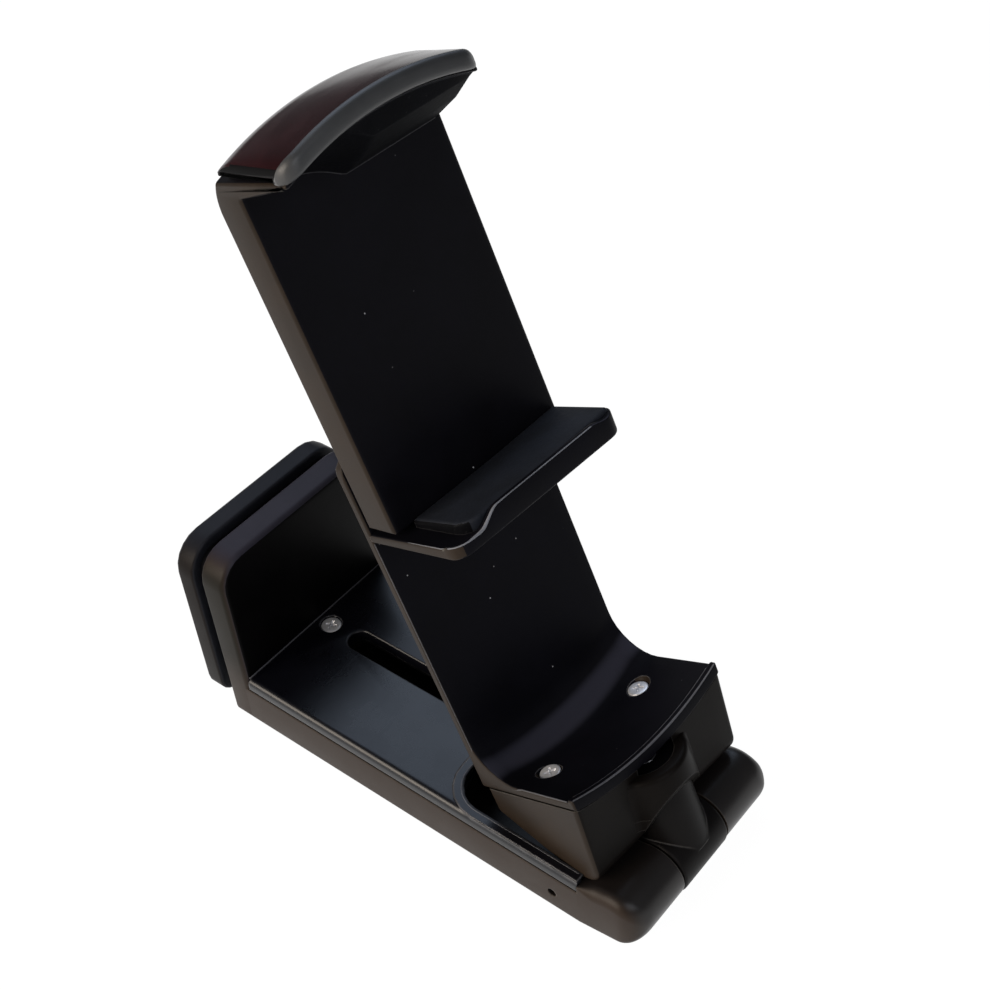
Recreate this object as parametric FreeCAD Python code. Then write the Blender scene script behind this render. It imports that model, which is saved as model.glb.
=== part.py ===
import FreeCAD, Part
import math
import os

from FreeCAD import Placement, Rotation, Vector

os.makedirs("parts", exist_ok=True)

# Folding holder for a phone. A clamp with a spring-loaded jaw forms the base and grips a table edge.
# An arm stands on a barrel hinge and a swivel at the other end, and carries the phone clamp.
# X runs along the base from the clamp's wall to the hinge, Y across it, Z up.
# Origin: inner face of the wall, middle of the width, underside of the base.
# All lengths are in millimetres and all angles in degrees.

# Base
base_width = 40.0
base_height = 12.4
cover_thickness = 3.0
shell_wall = 1.7
shell_floor = 1.8
shell_corner = 1.6
parting_gap = 0.4
parting_depth = 0.8
cover_edge_round = 0.7

# Upright wall and its soft facing
wall_thickness = 6.0
wall_height = 41.3
wall_corner = 6.0
wall_edge_round = 1.3
pad_thickness = 1.0
pad_inset = 2.0
pad_bottom = 8.0

# Sliding jaw of the table clamp
jaw_gap = 0.3
jaw_thickness = 4.7
jaw_bottom = 2.6
jaw_top = 40.9
jaw_corner_top = 6.5
jaw_corner_bottom = 3.5
jaw_edge_bevel = 1.0
jaw_travel = 28.0
leg_side_gap = 1.2
leg_thickness = 3.0
leg_window_half_width = 5.0
leg_end = 44.0
crossbar_thickness = 2.5
crossbar_end_gap = 1.0
crossbar_height = 6.0
sliding_clearance = 0.3
edge_break = 0.4
overlap = 0.5
outside = 20.0

# Slot, guide stud and screw in the cover
slot_width = 4.8
slot_start = 8.5
stud_lift = 0.5
stud_seat_radius = 1.3
cover_screw_x = 3.2
screw_head_radius = 2.0
screw_head_height = 1.3
screw_shank_radius = 1.0
screw_boss_wall = 2.4
screw_boss_length = 7.0
screw_hole_clearance = 0.1

# Springs and rods of the table clamp
tray_spring_side_gap = 1.7
tray_spring_radius = 2.2
tray_spring_wire = 0.3
tray_spring_turns = 9
rod_radius = 0.8
rod_lift = 2.8
rod_seat_depth = 2.5
rod_post_thickness = 1.6
rod_post_half_width = 1.7

# Window in the cover under the swivel block
window_start = 48.0
window_side = 1.7
window_corner = 6.5
rim_width = 1.5
rim_height = 0.35
cover_end = 77.3
snap_x = 71.8
snap_drop = 4.5
snap_radius = 0.9

# Hinge
hinge_x = 84.2
hinge_z = 6.9
outer_knuckle_radius = 6.3
middle_knuckle_radius = 6.5
middle_knuckle_half_width = 6.35
hinge_washer_thickness = 0.25
hinge_washer_play = 0.05
hinge_washer_radius = 4.0
knuckle_end_round = 1.8
hinge_pin_radius = 1.6
pin_clearance = 0.05
pin_seat_clearance = 0.01
pin_blind_cover = 3.0
hinge_cap_radius = 3.2
hinge_cap_thickness = 1.5

# Arm: its lean, and its turn on the swivel as it stands
arm_lean = 20.5
swivel_turn = 5.0

# Swivel post. Heights up the arm are measured from the hinge axis, depths from the swivel axis.
neck_radius = 5.9
neck_top = 18.0
neck_bore_clearance = 0.15
swivel_shoulder = 17.6
swivel_disc_radius = 6.6
swivel_disc_thickness = 1.6
swivel_disc_clearance = 0.2
swivel_washer_thickness = 0.3
swivel_washer_play = 0.05
swivel_screw_head_radius = 2.1
swivel_screw_head_height = 1.0
swivel_screw_radius = 1.1
swivel_screw_length = 9.0

# Swivel housing
arm_inset = 1.6
housing_bottom = 6.6
housing_bottom_back = -5.0
housing_bottom_front = -0.8
housing_back = -20.6
housing_back_bottom = 15.2
housing_back_chamfer = 1.2
housing_front_low = (1.4, 8.2)
housing_front_top = (3.3, 23.0)
housing_end_round = 2.5
housing_wall = 1.9
barrel_radius = 7.6
barrel_top = 20.0
barrel_underside_slope = 1.34
shelf_screw_depth = -10.8
shelf_screw_inset = 6.9
shelf_screw_head_radius = 1.9
shelf_screw_head_height = 0.9
shelf_screw_radius = 1.0
shelf_screw_length = 8.0
shelf_boss_half_width = 2.4

# Back plate with its curved shelf, ledge and tongue
plate_front = -20.0
plate_thickness = 1.8
plate_seam = 30.0
plate_top = 88.0
plate_corner = 4.0
shelf_low = (-14.0, 20.4)
shelf_high = (3.5, 23.1)
shelf_fillet_start = 27.2
shelf_section_top = 40.0
shelf_thickness = 1.8
shelf_arc_radius = 58.0
shelf_rim_height = 0.5
shelf_rim_width = 1.1
ledge_root_bottom = 72.2
ledge_root_top = 73.7
ledge_tip_bottom = 73.2
ledge_tip_top = 75.2
ledge_front = 2.6
ledge_corner = 3.0
lip_thickness = 1.9
lip_top = 77.5
lip_end_length = 3.8
lip_slope_length = 5.0
tongue_back = -17.3
tongue_thickness = 2.8
tongue_side_gap = 1.1
tongue_end_gap = 0.4
spring_post_half_width = 1.2
spring_post_top = 77.6

# Sleeve with the upper jaw
sleeve_front = -12.3
sleeve_back = -19.5
sleeve_bottom = 75.0
sleeve_wall = 1.8
sleeve_back_thickness = 1.6
sleeve_edge_round = 0.7
sleeve_cavity_drop = 8.94
sleeve_back_drop = 11.1
sleeve_fit = 0.2
phone_travel = 36.0
guide_boss_height = 84.0
guide_boss_radius = 2.2
guide_slot_clearance = 0.4
sleeve_screw_drop = 12.7
sleeve_screw_inset = 9.4
sleeve_screw_head_radius = 1.5
sleeve_screw_head_height = 0.8
sleeve_screw_radius = 0.8
sleeve_screw_length = 5.0
phone_spring_side_gap = 0.9
phone_spring_radius = 1.5
phone_spring_wire = 0.22
phone_spring_turns = 11
spring_lug_height = 1.6

# Hood of the upper jaw, in section at the middle of the width
hood_top = 139.9
hood_front_drop = 0.5
hood_back_radius = 8.0
hood_front = 1.6
hood_front_bevel = 0.7
hood_cap_thickness = 1.7
hood_cap_lip_height = 3.1
hood_root_drop = 22.54
hood_groove = 0.8
hood_groove_depth = 1.3
hood_cap_lip = 1.4
hood_thickness_front = 3.6
hood_thickness_back = 5.36
hood_arc_radius = 56.0
hood_fit = 0.1
upper_pad_inset = 1.3
upper_pad_front_gap = 0.7
upper_pad_foot = 127.2
upper_pad_slope = 0.52

# Soft pad on the ledge
lower_pad_back = -12.0
lower_pad_height = 1.5
lower_pad_inset = 2.4
lower_pad_round = 0.5


half = base_width / 2
arm_half_width = half - arm_inset
window_half_width = half - window_side
shelf_screw_y = arm_half_width - shelf_screw_inset
sleeve_screw_y = arm_half_width - sleeve_screw_inset
lip_low_half_width = arm_half_width - lip_end_length
lip_full_half_width = lip_low_half_width - lip_slope_length
phone_spring_y = arm_half_width - sleeve_wall - phone_spring_side_gap - phone_spring_radius
tongue_half_width = phone_spring_y - phone_spring_radius - tongue_side_gap
cover_bottom = base_height - cover_thickness
cavity_half_width = half - shell_wall
tray_spring_y = cavity_half_width - tray_spring_side_gap - tray_spring_radius
leg_half_width = tray_spring_y - tray_spring_radius - leg_side_gap
crossbar_half_width = cavity_half_width - crossbar_end_gap
screw_boss_half_width = screw_shank_radius + screw_boss_wall
leg_bottom = shell_floor + sliding_clearance
leg_top = leg_bottom + leg_thickness
wall_pad_front = -wall_thickness - pad_thickness
jaw_pad_front = wall_pad_front - jaw_gap
jaw_face = jaw_pad_front - pad_thickness
jaw_back = jaw_face - jaw_thickness
stud_radius = slot_width / 2 - sliding_clearance
stud_x = slot_start + slot_width / 2 + jaw_travel + sliding_clearance
slot_end = stud_x + slot_width / 2 + sliding_clearance
crossbar_x = leg_end - crossbar_thickness
rod_z = shell_floor + rod_lift
rod_post_x = leg_end + jaw_gap + sliding_clearance
washer_gap = hinge_washer_thickness + 2 * hinge_washer_play
outer_knuckle_inner = middle_knuckle_half_width + washer_gap
plate_back = plate_front - plate_thickness
ledge_lip_back = ledge_front - lip_thickness
tongue_front = tongue_back + tongue_thickness
hood_back_top = hood_top - hood_back_radius
hood_front_top = hood_top - hood_front_drop
hood_cap_bottom = hood_top - hood_cap_thickness
hood_lip_bottom = hood_top - hood_cap_lip_height
hood_underside_front = hood_top - hood_thickness_front
hood_underside_back = hood_top - hood_thickness_back
sleeve_cavity_top = hood_underside_back - sleeve_cavity_drop
sleeve_back_top = hood_top - sleeve_back_drop
sleeve_screw_height = hood_top - sleeve_screw_drop
tongue_top = sleeve_cavity_top - tongue_end_gap
hood_back_centre = sleeve_back + hood_back_radius
hinge_centre = Vector(hinge_x, 0, hinge_z)


# General shapes

def box(x0, x1, y0, y1, z0, z1):
    return Part.makeBox(x1 - x0, y1 - y0, z1 - z0, Vector(x0, y0, z0))


def wide_box(x0, x1, half_width, z0, z1):
    return box(x0, x1, -half_width, half_width, z0, z1)


def cylinder_x(radius, x0, x1, y, z):
    return Part.makeCylinder(radius, x1 - x0, Vector(x0, y, z), Vector(1, 0, 0))


def cylinder_y(radius, y0, y1, x, z):
    return Part.makeCylinder(radius, y1 - y0, Vector(x, y0, z), Vector(0, 1, 0))


def cylinder_z(radius, z0, z1, x, y):
    return Part.makeCylinder(radius, z1 - z0, Vector(x, y, z0), Vector(0, 0, 1))


def face_xz(points, y):
    corners = [Vector(x, y, z) for x, z in points]
    return Part.Face(Part.makePolygon(corners + corners[:1]))


def prism_y(points, half_width):
    return face_xz(points, -half_width).extrude(Vector(0, 2 * half_width, 0))


def wire_from(edges):
    return Part.Wire(Part.__sortEdges__(edges))


def line(a, b):
    return Part.LineSegment(a, b).toShape()


def arc(a, middle, b):
    return Part.Arc(a, middle, b).toShape()


def rounded_outline(u0, u1, v0, v1, radii, place):
    """Rectangle with its own radius at each corner: low-low, high-low, high-high, low-high."""
    corners = [(u0, v0), (u1, v0), (u1, v1), (u0, v1)]
    starts = [(0, 1), (-1, 0), (0, -1), (1, 0)]
    ends = [(1, 0), (0, 1), (-1, 0), (0, -1)]
    points = []
    edges = []
    bend = 1 - math.sqrt(0.5)
    for (u, v), (su, sv), (eu, ev), r in zip(corners, starts, ends, radii):
        a = place(u + su * r, v + sv * r)
        b = place(u + eu * r, v + ev * r)
        points.append((a, b))
        if r > 0:
            middle = place(u + (su + eu) * r * bend, v + (sv + ev) * r * bend)
            edges.append(arc(a, middle, b))
    for i in range(4):
        a = points[i][1]
        b = points[(i + 1) % 4][0]
        if a.distanceToPoint(b) > 1e-6:
            edges.append(line(a, b))
    return Part.Face(wire_from(edges))


def rounded_plate_x(x0, x1, half_width, z0, z1, top_radius, bottom_radius):
    radii = (bottom_radius, bottom_radius, top_radius, top_radius)
    face = rounded_outline(-half_width, half_width, z0, z1, radii, lambda y, z: Vector(x0, y, z))
    return face.extrude(Vector(x1 - x0, 0, 0))


def rounded_plate_z(x0, x1, half_width, z0, z1, start_radius, end_radius):
    radii = (start_radius, end_radius, end_radius, start_radius)
    face = rounded_outline(x0, x1, -half_width, half_width, radii, lambda x, y: Vector(x, y, z0))
    return face.extrude(Vector(0, 0, z1 - z0))


def edges_where(shape, test):
    return [edge for edge in shape.Edges if test(edge.BoundBox, edge)]


def close_to(a, b):
    return abs(a - b) < 1e-4


def fused(first, *others):
    return first.fuse(list(others)).removeSplitter()


def cut(shape, *tools):
    result = shape.cut(list(tools))
    return result.Solids[0] if len(result.Solids) == 1 else result


def coil_spring(radius, wire, length, turns, place):
    """Open coil of square wire with a few flats a turn; place maps a radial, a side and a run length."""
    flats = 6
    count = round(flats * turns)
    rings = []
    for i in range(count + 1):
        angle = 2 * math.pi * i / flats
        run = wire + (length - 2 * wire) * i / count
        ring = []
        for reach, rise in ((0, -wire), (0, wire), (-2 * wire, wire), (-2 * wire, -wire)):
            out = radius + reach
            ring.append(place(out * math.cos(angle), out * math.sin(angle), run + rise))
        rings.append(ring)
    faces = [Part.Face(Part.makePolygon(ring + ring[:1])) for ring in (rings[0], rings[-1])]
    for near, far in zip(rings, rings[1:]):
        for j in range(4):
            k = (j + 1) % 4
            for corners in ((near[j], near[k], far[k]), (near[j], far[k], far[j])):
                faces.append(Part.Face(Part.makePolygon(list(corners) + [corners[0]])))
    shell = Part.makeShell(faces)
    solid = Part.makeSolid(shell)
    if solid.Volume < 0:
        solid.reverse()
    return solid


def flush_screw(head_radius, head_height, shank_radius, length):
    """Flat head on top at height zero, shank hanging down."""
    head = cylinder_z(head_radius, -head_height, 0, 0, 0)
    return head.fuse(cylinder_z(shank_radius, -length, -head_height, 0, 0))


def screw_pocket(head_radius, head_height, shank_radius, length, clearance):
    """Cutter for the screw above: counterbore and hole."""
    mouth = cylinder_z(head_radius + clearance, -head_height, 1.0, 0, 0)
    hole = cylinder_z(shank_radius + clearance, -length - clearance, -head_height, 0, 0)
    return mouth.fuse(hole)


# Frames of the arm

def stand_arm(shape):
    """From the arm's own frame, with the hinge axis as origin, to the leaning arm."""
    placed = shape.copy()
    placed.Placement = Placement(hinge_centre, Rotation(Vector(0, 1, 0), -arm_lean)).multiply(placed.Placement)
    return placed


def turn_arm(shape):
    """Above the swivel the arm also stands turned a little."""
    turned = shape.copy()
    turned.Placement = Placement(Vector(), Rotation(Vector(0, 0, 1), -swivel_turn)).multiply(turned.Placement)
    return stand_arm(turned)


def swept_across(face, height, radius, half_width, sag_up):
    """Sweep a section in the XZ plane across the width along an arc that sags or bulges."""
    centre = height + radius if sag_up else height - radius
    span = 1.5 * math.degrees(math.asin(half_width / radius))
    start = face.copy()
    start.rotate(Vector(0, 0, centre), Vector(1, 0, 0), -span)
    solid = start.revolve(Vector(0, 0, centre), Vector(1, 0, 0), 2 * span)
    box_of = solid.BoundBox
    limits = wide_box(box_of.XMin - 1, box_of.XMax + 1, half_width, box_of.ZMin - 1, box_of.ZMax + 1)
    return solid.common(limits)


# Base

def side_profile():
    """Side outline of the shell: wall, floor and the knuckles at the far end."""
    slope = math.tan(math.radians(arm_lean))
    reach = (housing_bottom - sliding_clearance) / math.cos(math.radians(arm_lean))
    root_top = hinge_z + reach + slope * (cover_end - hinge_x)
    centre = Vector(hinge_x, 0, hinge_z)
    radius = outer_knuckle_radius

    def tangent_point(point, side):
        offset = point - centre
        turn = side * math.acos(radius / offset.Length)
        angle = math.atan2(offset.z, offset.x) + turn
        return centre + Vector(math.cos(angle), 0, math.sin(angle)) * radius

    corner = Vector(-wall_thickness, 0, 0)
    low = Vector(cover_end, 0, 0)
    high = Vector(cover_end, 0, root_top)
    step = Vector(cover_end, 0, cover_bottom)
    wall_foot = Vector(0, 0, cover_bottom)
    wall_in = Vector(0, 0, wall_height)
    wall_out = Vector(-wall_thickness, 0, wall_height)
    lower = tangent_point(low, 1)
    upper = tangent_point(high, -1)
    right = centre + Vector(radius, 0, 0)
    edges = [
        line(corner, low), line(low, lower), arc(lower, right, upper), line(upper, high),
        line(high, step), line(step, wall_foot), line(wall_foot, wall_in),
        line(wall_in, wall_out), line(wall_out, corner),
    ]
    return Part.Face(wire_from(edges))


def shell_blank():
    """Outside of the shell: the side outline, rounded also as seen from the end and from above."""
    face = side_profile()
    face.translate(Vector(0, -half, 0))
    blank = face.extrude(Vector(0, base_width, 0))
    knuckle_end = hinge_x + outer_knuckle_radius
    end_view = rounded_plate_x(
        -wall_thickness - 1, knuckle_end + 1, half, 0, wall_height, wall_corner, shell_corner)
    top_view = rounded_plate_z(
        -wall_thickness - 1, knuckle_end, half, -1, wall_height + 1, 0, knuckle_end_round)
    blank = blank.common(end_view).common(top_view)
    rim = edges_where(
        blank, lambda b, e: b.XLength < 1e-6 and close_to(b.XMin, 0) and b.ZMax > cover_bottom + 1)
    return blank.makeFillet(wall_edge_round, rim)


def cover_screw_boss():
    return wide_box(
        -1, screw_boss_length, screw_boss_half_width, leg_top + 2 * sliding_clearance, cover_bottom)


def rod_post(side):
    """Small upright on the floor that holds the end of a spring rod."""
    y = side * tray_spring_y
    return box(
        rod_post_x, rod_post_x + rod_post_thickness, y - rod_post_half_width, y + rod_post_half_width,
        0, rod_z + rod_post_half_width)


def make_base_shell():
    shell = shell_blank()
    middle = wide_box(cover_end, hinge_x + outside, outer_knuckle_inner, -1, wall_height)
    cavity_end = cover_end - shell_wall
    cavity = wide_box(0, cavity_end, cavity_half_width, shell_floor, base_height)
    cavity = cavity.cut([cover_screw_boss()] + [rod_post(side) for side in (-1, 1)])
    passage = wide_box(cavity_end - 1, hinge_x, outer_knuckle_inner, shell_floor, base_height + outside)
    tunnel = wide_box(
        -wall_thickness - 1, 1, leg_half_width + sliding_clearance,
        shell_floor, leg_top + sliding_clearance)
    pin_bore = cylinder_y(
        hinge_pin_radius + pin_seat_clearance, -half + pin_blind_cover, half + 1, hinge_x, hinge_z)
    cap_seat = cylinder_y(
        hinge_cap_radius, half - hinge_cap_thickness, half + 1, hinge_x, hinge_z)
    snap_holes = cylinder_y(snap_radius, -half - 1, half + 1, snap_x, cover_bottom - snap_drop)
    screw_hole = cylinder_z(
        screw_shank_radius, leg_top + 3 * sliding_clearance, cover_bottom + 1, cover_screw_x, 0)
    rod_holes = [
        cylinder_x(
            rod_radius, -rod_seat_depth, rod_post_x + rod_post_thickness + 1, side * tray_spring_y, rod_z)
        for side in (-1, 1)]
    return cut(shell, middle, cavity, passage, tunnel, pin_bore, cap_seat, snap_holes, screw_hole, *rod_holes)


def make_base_cover():
    start = sliding_clearance / 2
    plate = rounded_plate_z(start, cover_end, half, cover_bottom + parting_gap, base_height, 0, 0)
    upper = edges_where(
        plate, lambda b, e: close_to(b.ZMin, base_height) and close_to(b.XLength, cover_end - start))
    plate = plate.makeFillet(cover_edge_round, upper)
    step = wide_box(
        start, cover_end, half - parting_depth, cover_bottom, cover_bottom + parting_gap)
    lip_outer = cavity_half_width - sliding_clearance / 2
    lip = wide_box(start + screw_boss_length, window_start, lip_outer, cover_bottom - 1.0, cover_bottom)
    lip_hollow = wide_box(
        0, window_start - shell_wall, lip_outer - 1.0, cover_bottom - 1.5, cover_bottom)
    rim_outer = window_half_width + rim_width
    rim = rounded_plate_z(
        window_start - rim_width, cover_end, rim_outer, base_height - 1.0,
        base_height + rim_height, window_corner + rim_width, 0)
    cover = fused(plate, step, cut(lip, lip_hollow), rim)

    window = rounded_plate_z(
        window_start, cover_end + 1, window_half_width, 0, base_height + outside, window_corner, 0)
    slot = rounded_plate_z(
        slot_start, slot_end, slot_width / 2, 0, base_height + outside,
        slot_width / 2 - 1e-3, slot_width / 2 - 1e-3)
    pocket = screw_pocket(
        screw_head_radius, screw_head_height, screw_shank_radius,
        screw_head_height + cover_thickness, screw_hole_clearance)
    pocket.translate(Vector(cover_screw_x, 0, base_height))
    return cut(cover, window, slot, pocket)


def make_cover_screw():
    length = base_height - leg_top - 4 * sliding_clearance
    screw = flush_screw(screw_head_radius, screw_head_height, screw_shank_radius, length)
    screw.translate(Vector(cover_screw_x, 0, base_height))
    return screw


def clamp_pad(x0, x1):
    inner_corner = wall_corner - pad_inset
    pad = rounded_plate_x(
        x0, x1, half - pad_inset, pad_bottom, min(wall_height, jaw_top) - pad_inset,
        inner_corner, inner_corner)
    return pad


def make_wall_pad():
    return clamp_pad(wall_pad_front, -wall_thickness)


def make_tray_jaw_pad():
    return clamp_pad(jaw_face, jaw_pad_front)


def make_tray_jaw():
    plate = rounded_plate_x(
        jaw_back, jaw_face, half, jaw_bottom, jaw_top, jaw_corner_top, jaw_corner_bottom)
    rims = edges_where(plate, lambda b, e: b.XLength < 1e-6 and close_to(b.XMin, jaw_back))
    plate = plate.makeChamfer(jaw_edge_bevel, rims)
    leg = wide_box(jaw_face - 1, leg_end, leg_half_width, leg_bottom, leg_top)
    crossbar = wide_box(crossbar_x, leg_end, crossbar_half_width, leg_bottom, leg_bottom + crossbar_height)
    gusset = prism_y([(jaw_face - 1, leg_bottom), (jaw_face, leg_bottom), (jaw_face, leg_top)], leg_half_width)
    jaw = fused(plate, leg, crossbar, gusset)
    lightening = rounded_plate_z(
        slot_start, stud_x - 2 * stud_radius - 1, leg_window_half_width, 0, leg_top + 1, 2.0, 2.0)
    seat = cylinder_z(stud_seat_radius, 0, leg_top + 1, stud_x, 0)
    saddle = cylinder_z(stud_radius + sliding_clearance, leg_top, leg_bottom + crossbar_height + 1, stud_x, 0)
    rod_holes = [
        cylinder_x(rod_radius + sliding_clearance, crossbar_x - 1, leg_end + 1, side * tray_spring_y, rod_z)
        for side in (-1, 1)]
    return cut(jaw, lightening, seat, saddle, *rod_holes)


def make_jaw_guide_stud():
    head = cylinder_z(stud_radius, leg_top, base_height - stud_lift, stud_x, 0)
    shank = cylinder_z(stud_seat_radius, leg_bottom + stud_lift, leg_top, stud_x, 0)
    return fused(head, shank)


def make_tray_spring(side):
    def place(across, up, run):
        return Vector(sliding_clearance + run, side * tray_spring_y + across, rod_z + up)

    length = crossbar_x - 2 * sliding_clearance
    return coil_spring(tray_spring_radius, tray_spring_wire, length, tray_spring_turns, place)


def make_spring_rod(side):
    return cylinder_x(
        rod_radius, -rod_seat_depth, rod_post_x + rod_post_thickness, side * tray_spring_y, rod_z)


def make_hinge_pin():
    return cylinder_y(
        hinge_pin_radius, -half + pin_blind_cover + 0.2, half - hinge_cap_thickness, hinge_x, hinge_z)


def make_hinge_cap():
    return cylinder_y(hinge_cap_radius, half - hinge_cap_thickness, half, hinge_x, hinge_z)


# Swivel carrier, in the arm's frame before it leans

def make_swivel_post():
    knuckle = cylinder_y(
        middle_knuckle_radius, -middle_knuckle_half_width, middle_knuckle_half_width, 0, 0)
    ends = edges_where(knuckle, lambda b, e: b.YLength < 1e-6)
    knuckle = knuckle.makeChamfer(edge_break, ends)
    neck = cylinder_z(neck_radius, 0, neck_top, 0, 0)
    post = fused(knuckle, neck)
    bore = cylinder_y(hinge_pin_radius + pin_clearance, -half, half, 0, 0)
    thread = cylinder_z(
        swivel_screw_radius, neck_top - swivel_screw_length, neck_top + 1, 0, 0)
    return stand_arm(cut(post, bore, thread))


def make_swivel_disc():
    disc = cylinder_z(swivel_disc_radius, neck_top, neck_top + swivel_disc_thickness, 0, 0)
    pocket = screw_pocket(
        swivel_screw_head_radius, swivel_screw_head_height, swivel_screw_radius,
        swivel_disc_thickness + 1, screw_hole_clearance)
    pocket.translate(Vector(0, 0, neck_top + swivel_disc_thickness))
    return stand_arm(cut(disc, pocket))


def make_swivel_screw():
    screw = flush_screw(
        swivel_screw_head_radius, swivel_screw_head_height, swivel_screw_radius,
        swivel_disc_thickness + swivel_screw_length - 1)
    screw.translate(Vector(0, 0, neck_top + swivel_disc_thickness))
    return stand_arm(screw)


def make_swivel_washer():
    low = swivel_shoulder + swivel_washer_play
    ring = cylinder_z(swivel_disc_radius, low, low + swivel_washer_thickness, 0, 0)
    hole = cylinder_z(neck_radius + neck_bore_clearance, low - 1, low + 1, 0, 0)
    return stand_arm(cut(ring, hole))


def make_hinge_washer(side):
    near = middle_knuckle_half_width + hinge_washer_play
    ring = cylinder_y(hinge_washer_radius, near, near + hinge_washer_thickness, 0, 0)
    hole = cylinder_y(hinge_pin_radius + pin_clearance, near - 1, near + 1, 0, 0)
    washer = cut(ring, hole)
    if side < 0:
        washer = washer.mirror(Vector(0, 0, 0), Vector(0, 1, 0))
    return stand_arm(washer)


# Arm above the swivel, in its own frame

def shelf_slope():
    return (shelf_high[1] - shelf_low[1]) / (shelf_high[0] - shelf_low[0])


def shelf_underside(depth):
    return shelf_low[1] - shelf_thickness + shelf_slope() * (depth - shelf_low[0])


def space_above_shelf_underside():
    """Everything above the shelf's underside, swept along the shelf's own arc."""
    back = housing_back - outside
    front = housing_front_top[0] + outside
    high = shelf_section_top + outside
    points = [(back, shelf_underside(back)), (front, shelf_underside(front)), (front, high), (back, high)]
    return swept_across(face_xz(points, 0), shelf_low[1], shelf_arc_radius, arm_half_width + overlap, True)


def shelf_bosses():
    low = shelf_screw_depth - shelf_boss_half_width
    high = shelf_screw_depth + shelf_boss_half_width
    return [
        box(low, high, side * shelf_screw_y - shelf_boss_half_width,
            side * shelf_screw_y + shelf_boss_half_width, housing_bottom, plate_seam)
        for side in (-1, 1)]


def shelf_screw_place(shape, side):
    """Move a screw or its cutter to its seat in the sloping shelf."""
    rise = shelf_arc_radius - math.sqrt(shelf_arc_radius ** 2 - shelf_screw_y ** 2)
    height = shelf_low[1] + shelf_slope() * (shelf_screw_depth - shelf_low[0]) + rise
    moved = shape.copy()
    moved.translate(Vector(shelf_screw_depth, side * shelf_screw_y, height))
    return moved


def housing_outline():
    high = shelf_section_top
    return [
        (housing_back, high),
        (housing_back, housing_back_bottom + housing_back_chamfer),
        (housing_back + housing_back_chamfer, housing_back_bottom),
        (housing_bottom_back, housing_bottom),
        (housing_bottom_front, housing_bottom),
        housing_front_low,
        housing_front_top,
        (housing_front_top[0], high),
    ]


def make_swivel_housing():
    block = prism_y(housing_outline(), arm_half_width)
    ends = edges_where(
        block, lambda b, e: b.YLength < 1e-6 and b.ZMax < housing_back_bottom + 0.1)
    block = block.makeFillet(housing_end_round, ends)
    edge_x, edge_z = housing_front_low
    reach = barrel_radius + overlap
    barrel = cylinder_z(barrel_radius, edge_z, barrel_top, 0, 0)
    beneath = prism_y([
        (edge_x, edge_z - overlap), (reach, edge_z - overlap),
        (reach, edge_z + barrel_underside_slope * (reach - edge_x)), (edge_x, edge_z)], arm_half_width)
    block = fused(block, cut(barrel, beneath))

    high = shelf_section_top + outside
    inner = [
        (housing_back + housing_wall, high),
        (housing_back + housing_wall, housing_back_bottom + housing_wall),
        (housing_bottom_back, housing_bottom + housing_wall),
        (housing_bottom_front, housing_bottom + housing_wall),
        (housing_front_low[0] - housing_wall, housing_front_low[1] + housing_wall),
        (housing_front_top[0] - housing_wall, housing_front_top[1]),
        (housing_front_top[0] - housing_wall, high),
    ]
    pockets = prism_y(inner, arm_half_width - housing_wall)
    hub_half_width = swivel_disc_radius + swivel_disc_clearance + housing_wall
    hub = wide_box(-hub_half_width, outside, hub_half_width, 0, high)
    pockets = pockets.cut([hub] + shelf_bosses())
    bore = cylinder_z(neck_radius + neck_bore_clearance, 0, high, 0, 0)
    seat = cylinder_z(swivel_disc_radius + swivel_disc_clearance, swivel_shoulder, high, 0, 0)
    pilots = [
        shelf_screw_place(cylinder_z(shelf_screw_radius, -shelf_screw_length, shelf_thickness, 0, 0), side)
        for side in (-1, 1)]
    housing = cut(block, pockets, bore, seat, space_above_shelf_underside(), *pilots)
    return turn_arm(housing)


def shelf_section():
    """Section of the curved shelf and the foot of the plate."""
    low = Vector(shelf_low[0], 0, shelf_low[1])
    high = Vector(shelf_high[0] - shelf_rim_width, 0, shelf_high[1] - shelf_slope() * shelf_rim_width)
    start = Vector(plate_front, 0, shelf_fillet_start)
    depth = low.x - plate_front
    bulge = Vector(plate_front + depth * 0.24, 0, low.z + (start.z - low.z) * 0.24)
    plate_back_top = Vector(plate_back, 0, shelf_section_top)
    plate_front_top = Vector(plate_front, 0, shelf_section_top)
    rim_back = high + Vector(0, 0, shelf_rim_height)
    rim_front = Vector(shelf_high[0], 0, shelf_high[1] + shelf_rim_height * 0.6)
    edges = [
        line(Vector(plate_back, 0, shelf_underside(plate_back)), plate_back_top),
        line(plate_back_top, plate_front_top),
        line(plate_front_top, start),
        arc(start, bulge, low),
        line(low, high),
        line(high, rim_back),
        line(rim_back, rim_front),
        line(rim_front, Vector(shelf_high[0], 0, shelf_underside(shelf_high[0]))),
        line(Vector(shelf_high[0], 0, shelf_underside(shelf_high[0])),
             Vector(plate_back, 0, shelf_underside(plate_back))),
    ]
    return Part.Face(wire_from(edges))


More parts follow.
